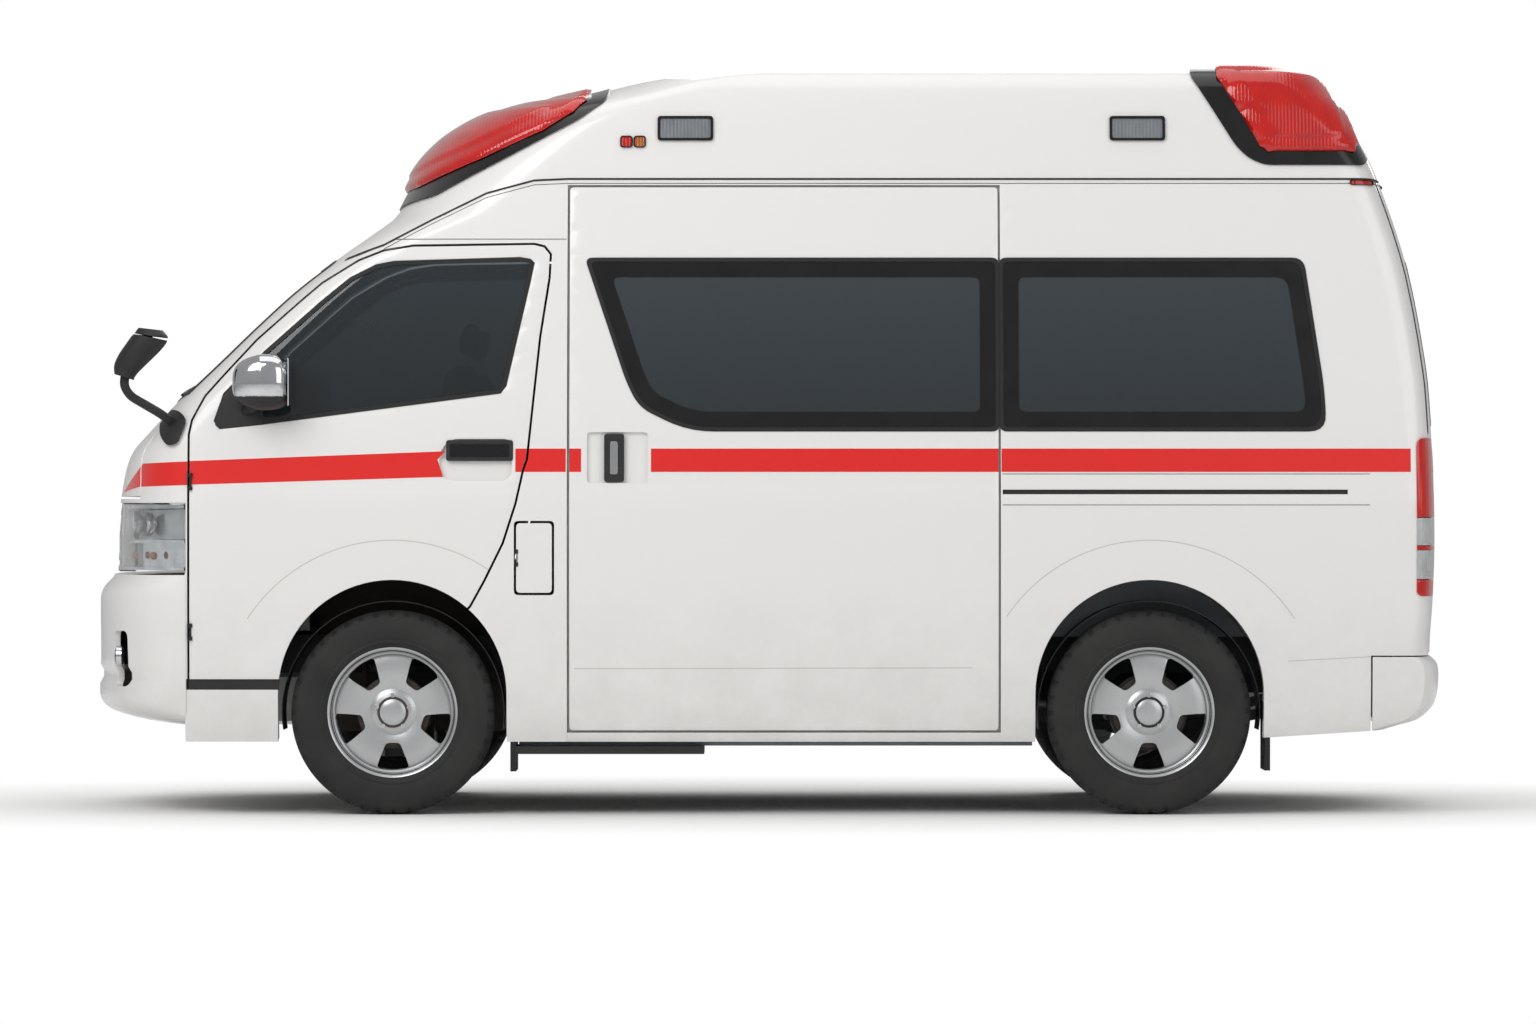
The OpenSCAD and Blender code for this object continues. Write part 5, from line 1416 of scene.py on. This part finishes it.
# finishes of the nodes that stay as they are
nodeFinish = {
    "chassis_frame": blackSteel, "floor": floorSheet, "grille": chromePlate, "hinges": blackSteel,
              "side_step": blackPlastic,
    "mud_flaps": sealRubber, "engine": castIron, "fuel_tank": blackSteel, "exhaust": exhaustSteel,
              "spare_wheel": tyreRubber,
    "rear_axle": blackSteel, "leaf_springs": blackSteel, "drive_shaft": greySteel,
              "front_suspension": blackSteel,
    "left_knuckle": castIron, "right_knuckle": castIron, "dashboard": darkTrim,
              "steering_wheel": blackPlastic,
    "stretcher": greySteel, "cab_seats": seatCloth,
}
for node, obj in frame["nodes"].items():
    obj.data.materials.clear()
    obj.data.materials.append(nodeFinish.get(node, blackPlastic))
    smooth(obj, 25)


# black wheel-house sheets over the grey floor
def archLiner(name, side, axleX, yIn, yOut):
    rows = [(yIn, 376), (yOut, 376), (yOut, 379), (yIn, 379)]
    liner = turned(name, [(r, side * y) for y, r in rows], 96, True)
    cutWith(liner, prism("cutter", [(-500, -500), (500, -500), (500, -60), (-500, -60)], "side", -1.5, 1.5),
            'DIFFERENCE')
    atPlace(liner, (axleX * mm, 0, tyreRadius * mm), name)
    return finishPiece(liner, "body", blackPlastic, angle=40)


for side in (-1, 1):
    archLiner("frontArchLiner", side, frontAxleX, 690, 868)
    archLiner("rearArchLiner", side, rearAxleX, 690, 868)
print("finishes given")


# cushions: foam under cloth, blown up by the cloth solver, then seams pressed in
foam = {"pressure": 4.0, "mass": 0.25, "stiffness": 18.0, "frames": 20, "cap": 0.024, "seamWidth": 0.011,
        "seamDepth": 0.007}


def cushion(name, outline, view, low, high, voxel, seams, material, body, *replaced):
    pad = prism(name, outline, view, low, high)
    useModifier(pad, 'BEVEL', width=0.018, segments=3, limit_method='ANGLE')
    useModifier(pad, 'REMESH', mode='VOXEL', voxel_size=voxel)
    before = [vertex.co.copy() for vertex in pad.data.vertices]
    makeActive(pad)
    cloth = pad.modifiers.new("Cloth", 'CLOTH')
    cloth.settings.use_pressure = True
    cloth.settings.uniform_pressure_force = foam["pressure"]
    cloth.settings.mass = foam["mass"]
    cloth.settings.tension_stiffness = foam["stiffness"]
    cloth.settings.compression_stiffness = foam["stiffness"]
    cloth.settings.effector_weights.gravity = 0
    cloth.point_cache.frame_start = 1
    cloth.point_cache.frame_end = foam["frames"]
    for frameNumber in range(1, foam["frames"] + 1):
        bpy.context.scene.frame_set(frameNumber)
    bpy.ops.object.modifier_apply(modifier=cloth.name)
    bpy.context.scene.frame_set(1)
    for vertex, start in zip(pad.data.vertices, before):
        move = vertex.co - start
        if move.length > foam["cap"]:
            vertex.co = start + move * (foam["cap"] / move.length)
    useModifier(pad, 'SUBSURF', levels=1, render_levels=1)
    normals = [vertex.normal.copy() for vertex in pad.data.vertices]
    for vertex, normal in zip(pad.data.vertices, normals):
        for axis, place in seams:
            near = abs(vertex.co[axis] - place) / foam["seamWidth"]
            if near < 1:
                vertex.co -= normal * foam["seamDepth"] * (1 - near * near) ** 2
    finishPiece(pad, body, material, *replaced, angle=180)
    return pad


seatLook = {"cushion": [(-1548, 862), (-1102, 862), (-1102, 962), (-1200, 958), (-1400, 966), (-1548, 972)],
            "back": [(-1190, 997), (-1100, 997), (-997, 1548), (-1074, 1548)],
            "head": [(-1066, 1572), (-1014, 1572), (-995, 1678), (-1040, 1678)]}
for y, word in ((-0.41, "left"), (0.41, "right")):
    cushion(word + "SeatCushion", seatLook["cushion"], "side", y - 0.218, y + 0.218, 0.012,
            [(1, y - 0.13), (1, y + 0.13), (0, -1.42)], seatCloth, "body", "cab_seats")
    cushion(word + "SeatBack", seatLook["back"], "side", y - 0.208, y + 0.208, 0.012,
            [(1, y - 0.12), (1, y + 0.12), (2, 1.36)], seatCloth, "body", "cab_seats")
    cushion(word + "Headrest", seatLook["head"], "side", y - 0.118, y + 0.118, 0.01,
            [(1, y - 0.08), (1, y + 0.08)],
            seatCloth, "body", "cab_seats")
    for offset in (-0.06, 0.06):
        dress(rodPiece(word + "HeadrestPost", (-1.04, y + offset, 1.535), (-1.03, y + offset, 1.6), 0.006),
              "body", chromePlate)
    dress(boxPiece(word + "SeatBase", (-1.5, y - 0.19, 0.806), (-1.12, y + 0.19, 0.858), 0.008), "body",
          blackPlastic)
mattress = [(-118, 812), (1748, 812), (1748, 868), (-118, 868)]
cushion("stretcherMattress", mattress, "side", -0.268, 0.228, 0.016, [(0, 0.35), (0, 0.8), (0, 1.25)],
        stretcherVinyl, "body",
        "stretcher")
dress(boxPiece("stretcherDeck", (-0.14, -0.29, 0.755), (1.77, 0.25, 0.797), 0.012), "body", greySteel)
for x in (0.0, 1.5):
    for y in (-0.24, 0.2):
        dress(rodPiece("stretcherLeg", (x, y, 0.47), (x, y, 0.76), 0.016, 20), "body", greySteel)
    dress(rodPiece("stretcherCrossTube", (x, -0.24, 0.5), (x, 0.2, 0.5), 0.013, 20), "body", greySteel)
for y in (-0.29, 0.25):
    dress(tube("stretcherRail", [(0.1, y, 0.79), (0.12, y, 0.87), (0.2, y, 0.9), (0.9, y, 0.9),
                                 (1.5, y, 0.9), (1.58, y, 0.87),
                                 (1.6, y, 0.79)], 0.011), "body", chromePlate)
print("cushions made")

# stage, light and camera
camera = {"distance": 22.0, "span": 5.207, "x": 0.007, "z": 1.027}
bpy.ops.object.camera_add(location=(camera["x"], -0.94 - camera["distance"], camera["z"]),
                          rotation=(math.pi / 2, 0, 0))
cameraObject = bpy.context.object
cameraObject.data.lens = 36 * camera["distance"] / camera["span"]
cameraObject.data.clip_end = 200
bpy.context.scene.camera = cameraObject

floorMaterial, tree, shader = newMaterial("paleStudioFloorMatte", Roughness=0.95)
shader.inputs['Base Color'].default_value = hexColour("#f4f4f3")
shader.inputs['Specular IOR Level'].default_value = 0.1
# away from the vehicle the floor is as white as the backdrop, so only the shadow under it is left
place = addNode(tree, 'ShaderNodeTexCoord')
apart = addNode(tree, 'ShaderNodeVectorMath', {'operation': 'MULTIPLY', 1: (0.36, 0.62, 0.0)},
                in0=place.outputs['Object'])
reach = addNode(tree, 'ShaderNodeVectorMath', {'operation': 'LENGTH'}, in0=apart.outputs[0])
fade = addNode(tree, 'ShaderNodeMapRange', {'From Min': 0.75, 'From Max': 1.45, 'To Min': 0.0,
                                            'To Max': 1.0},
               Value=reach.outputs['Value'])
floorRay = addNode(tree, 'ShaderNodeLightPath')
anySeen = addNode(tree, 'ShaderNodeMath', {'operation': 'MAXIMUM'}, in0=floorRay.outputs['Is Camera Ray'],
                  in1=floorRay.outputs['Is Transmission Ray'])
whiteShare = addNode(tree, 'ShaderNodeMath', {'operation': 'MULTIPLY'}, in0=anySeen.outputs[0],
                     in1=fade.outputs[0])
glow = addNode(tree, 'ShaderNodeEmission', {'Color': (1, 1, 1, 1), 'Strength': 1.0})
blendWhite = addNode(tree, 'ShaderNodeMixShader', {}, in0=whiteShare.outputs[0], in1=shader.outputs[0],
                     in2=glow.outputs[0])
out = [node for node in tree.nodes if node.type == 'OUTPUT_MATERIAL'][0]
tree.links.new(out.inputs['Surface'], blendWhite.outputs[0])
deselectAll()
bpy.ops.mesh.primitive_plane_add(size=120, location=(0, 0, -0.0005))
floor = settle(bpy.context.object, "studioFloor")
floor.data.materials.append(floorMaterial)

world = bpy.data.worlds.new("studio")
bpy.context.scene.world = world
world.use_nodes = True
worldTree = world.node_tree
background = worldTree.nodes["Background"]
ray = addNode(worldTree, 'ShaderNodeLightPath')
seen = addNode(worldTree, 'ShaderNodeMath', {'operation': 'MAXIMUM'}, in0=ray.outputs['Is Camera Ray'],
               in1=ray.outputs['Is Transmission Ray'])
strength = addNode(worldTree, 'ShaderNodeMapRange', {'To Min': 0.4, 'To Max': 1.0}, Value=seen.outputs[0])
background.inputs['Color'].default_value = (1, 1, 1, 1)
worldTree.links.new(background.inputs['Strength'], strength.outputs[0])

lamps = {  # place, aim, size and watts
    "key": ((-4.5, -7.0, 6.5), (0, 0, 1.2), 5.0, 330),
    "fill": ((6.0, -7.5, 4.0), (0.5, 0, 1.2), 6.0, 150),
    "back": ((2.0, 8.0, 6.0), (0, 0, 1.2), 6.0, 240),
    "top": ((0.0, 0.0, 8.0), (0, 0, 0), 7.0, 160),
}
for name, (place, aim, size, watts) in lamps.items():
    direction = [aim[i] - place[i] for i in range(3)]
    length = math.sqrt(sum(c * c for c in direction))
    bpy.ops.object.light_add(type='AREA', location=place, rotation=(
        0, math.acos(-direction[2] / length), math.atan2(-direction[1], -direction[0])))
    lamp = bpy.context.object
    lamp.name = name + "Lamp"
    lamp.data.size = size
    lamp.data.energy = watts
bpy.context.scene.view_settings.view_transform = 'Standard'
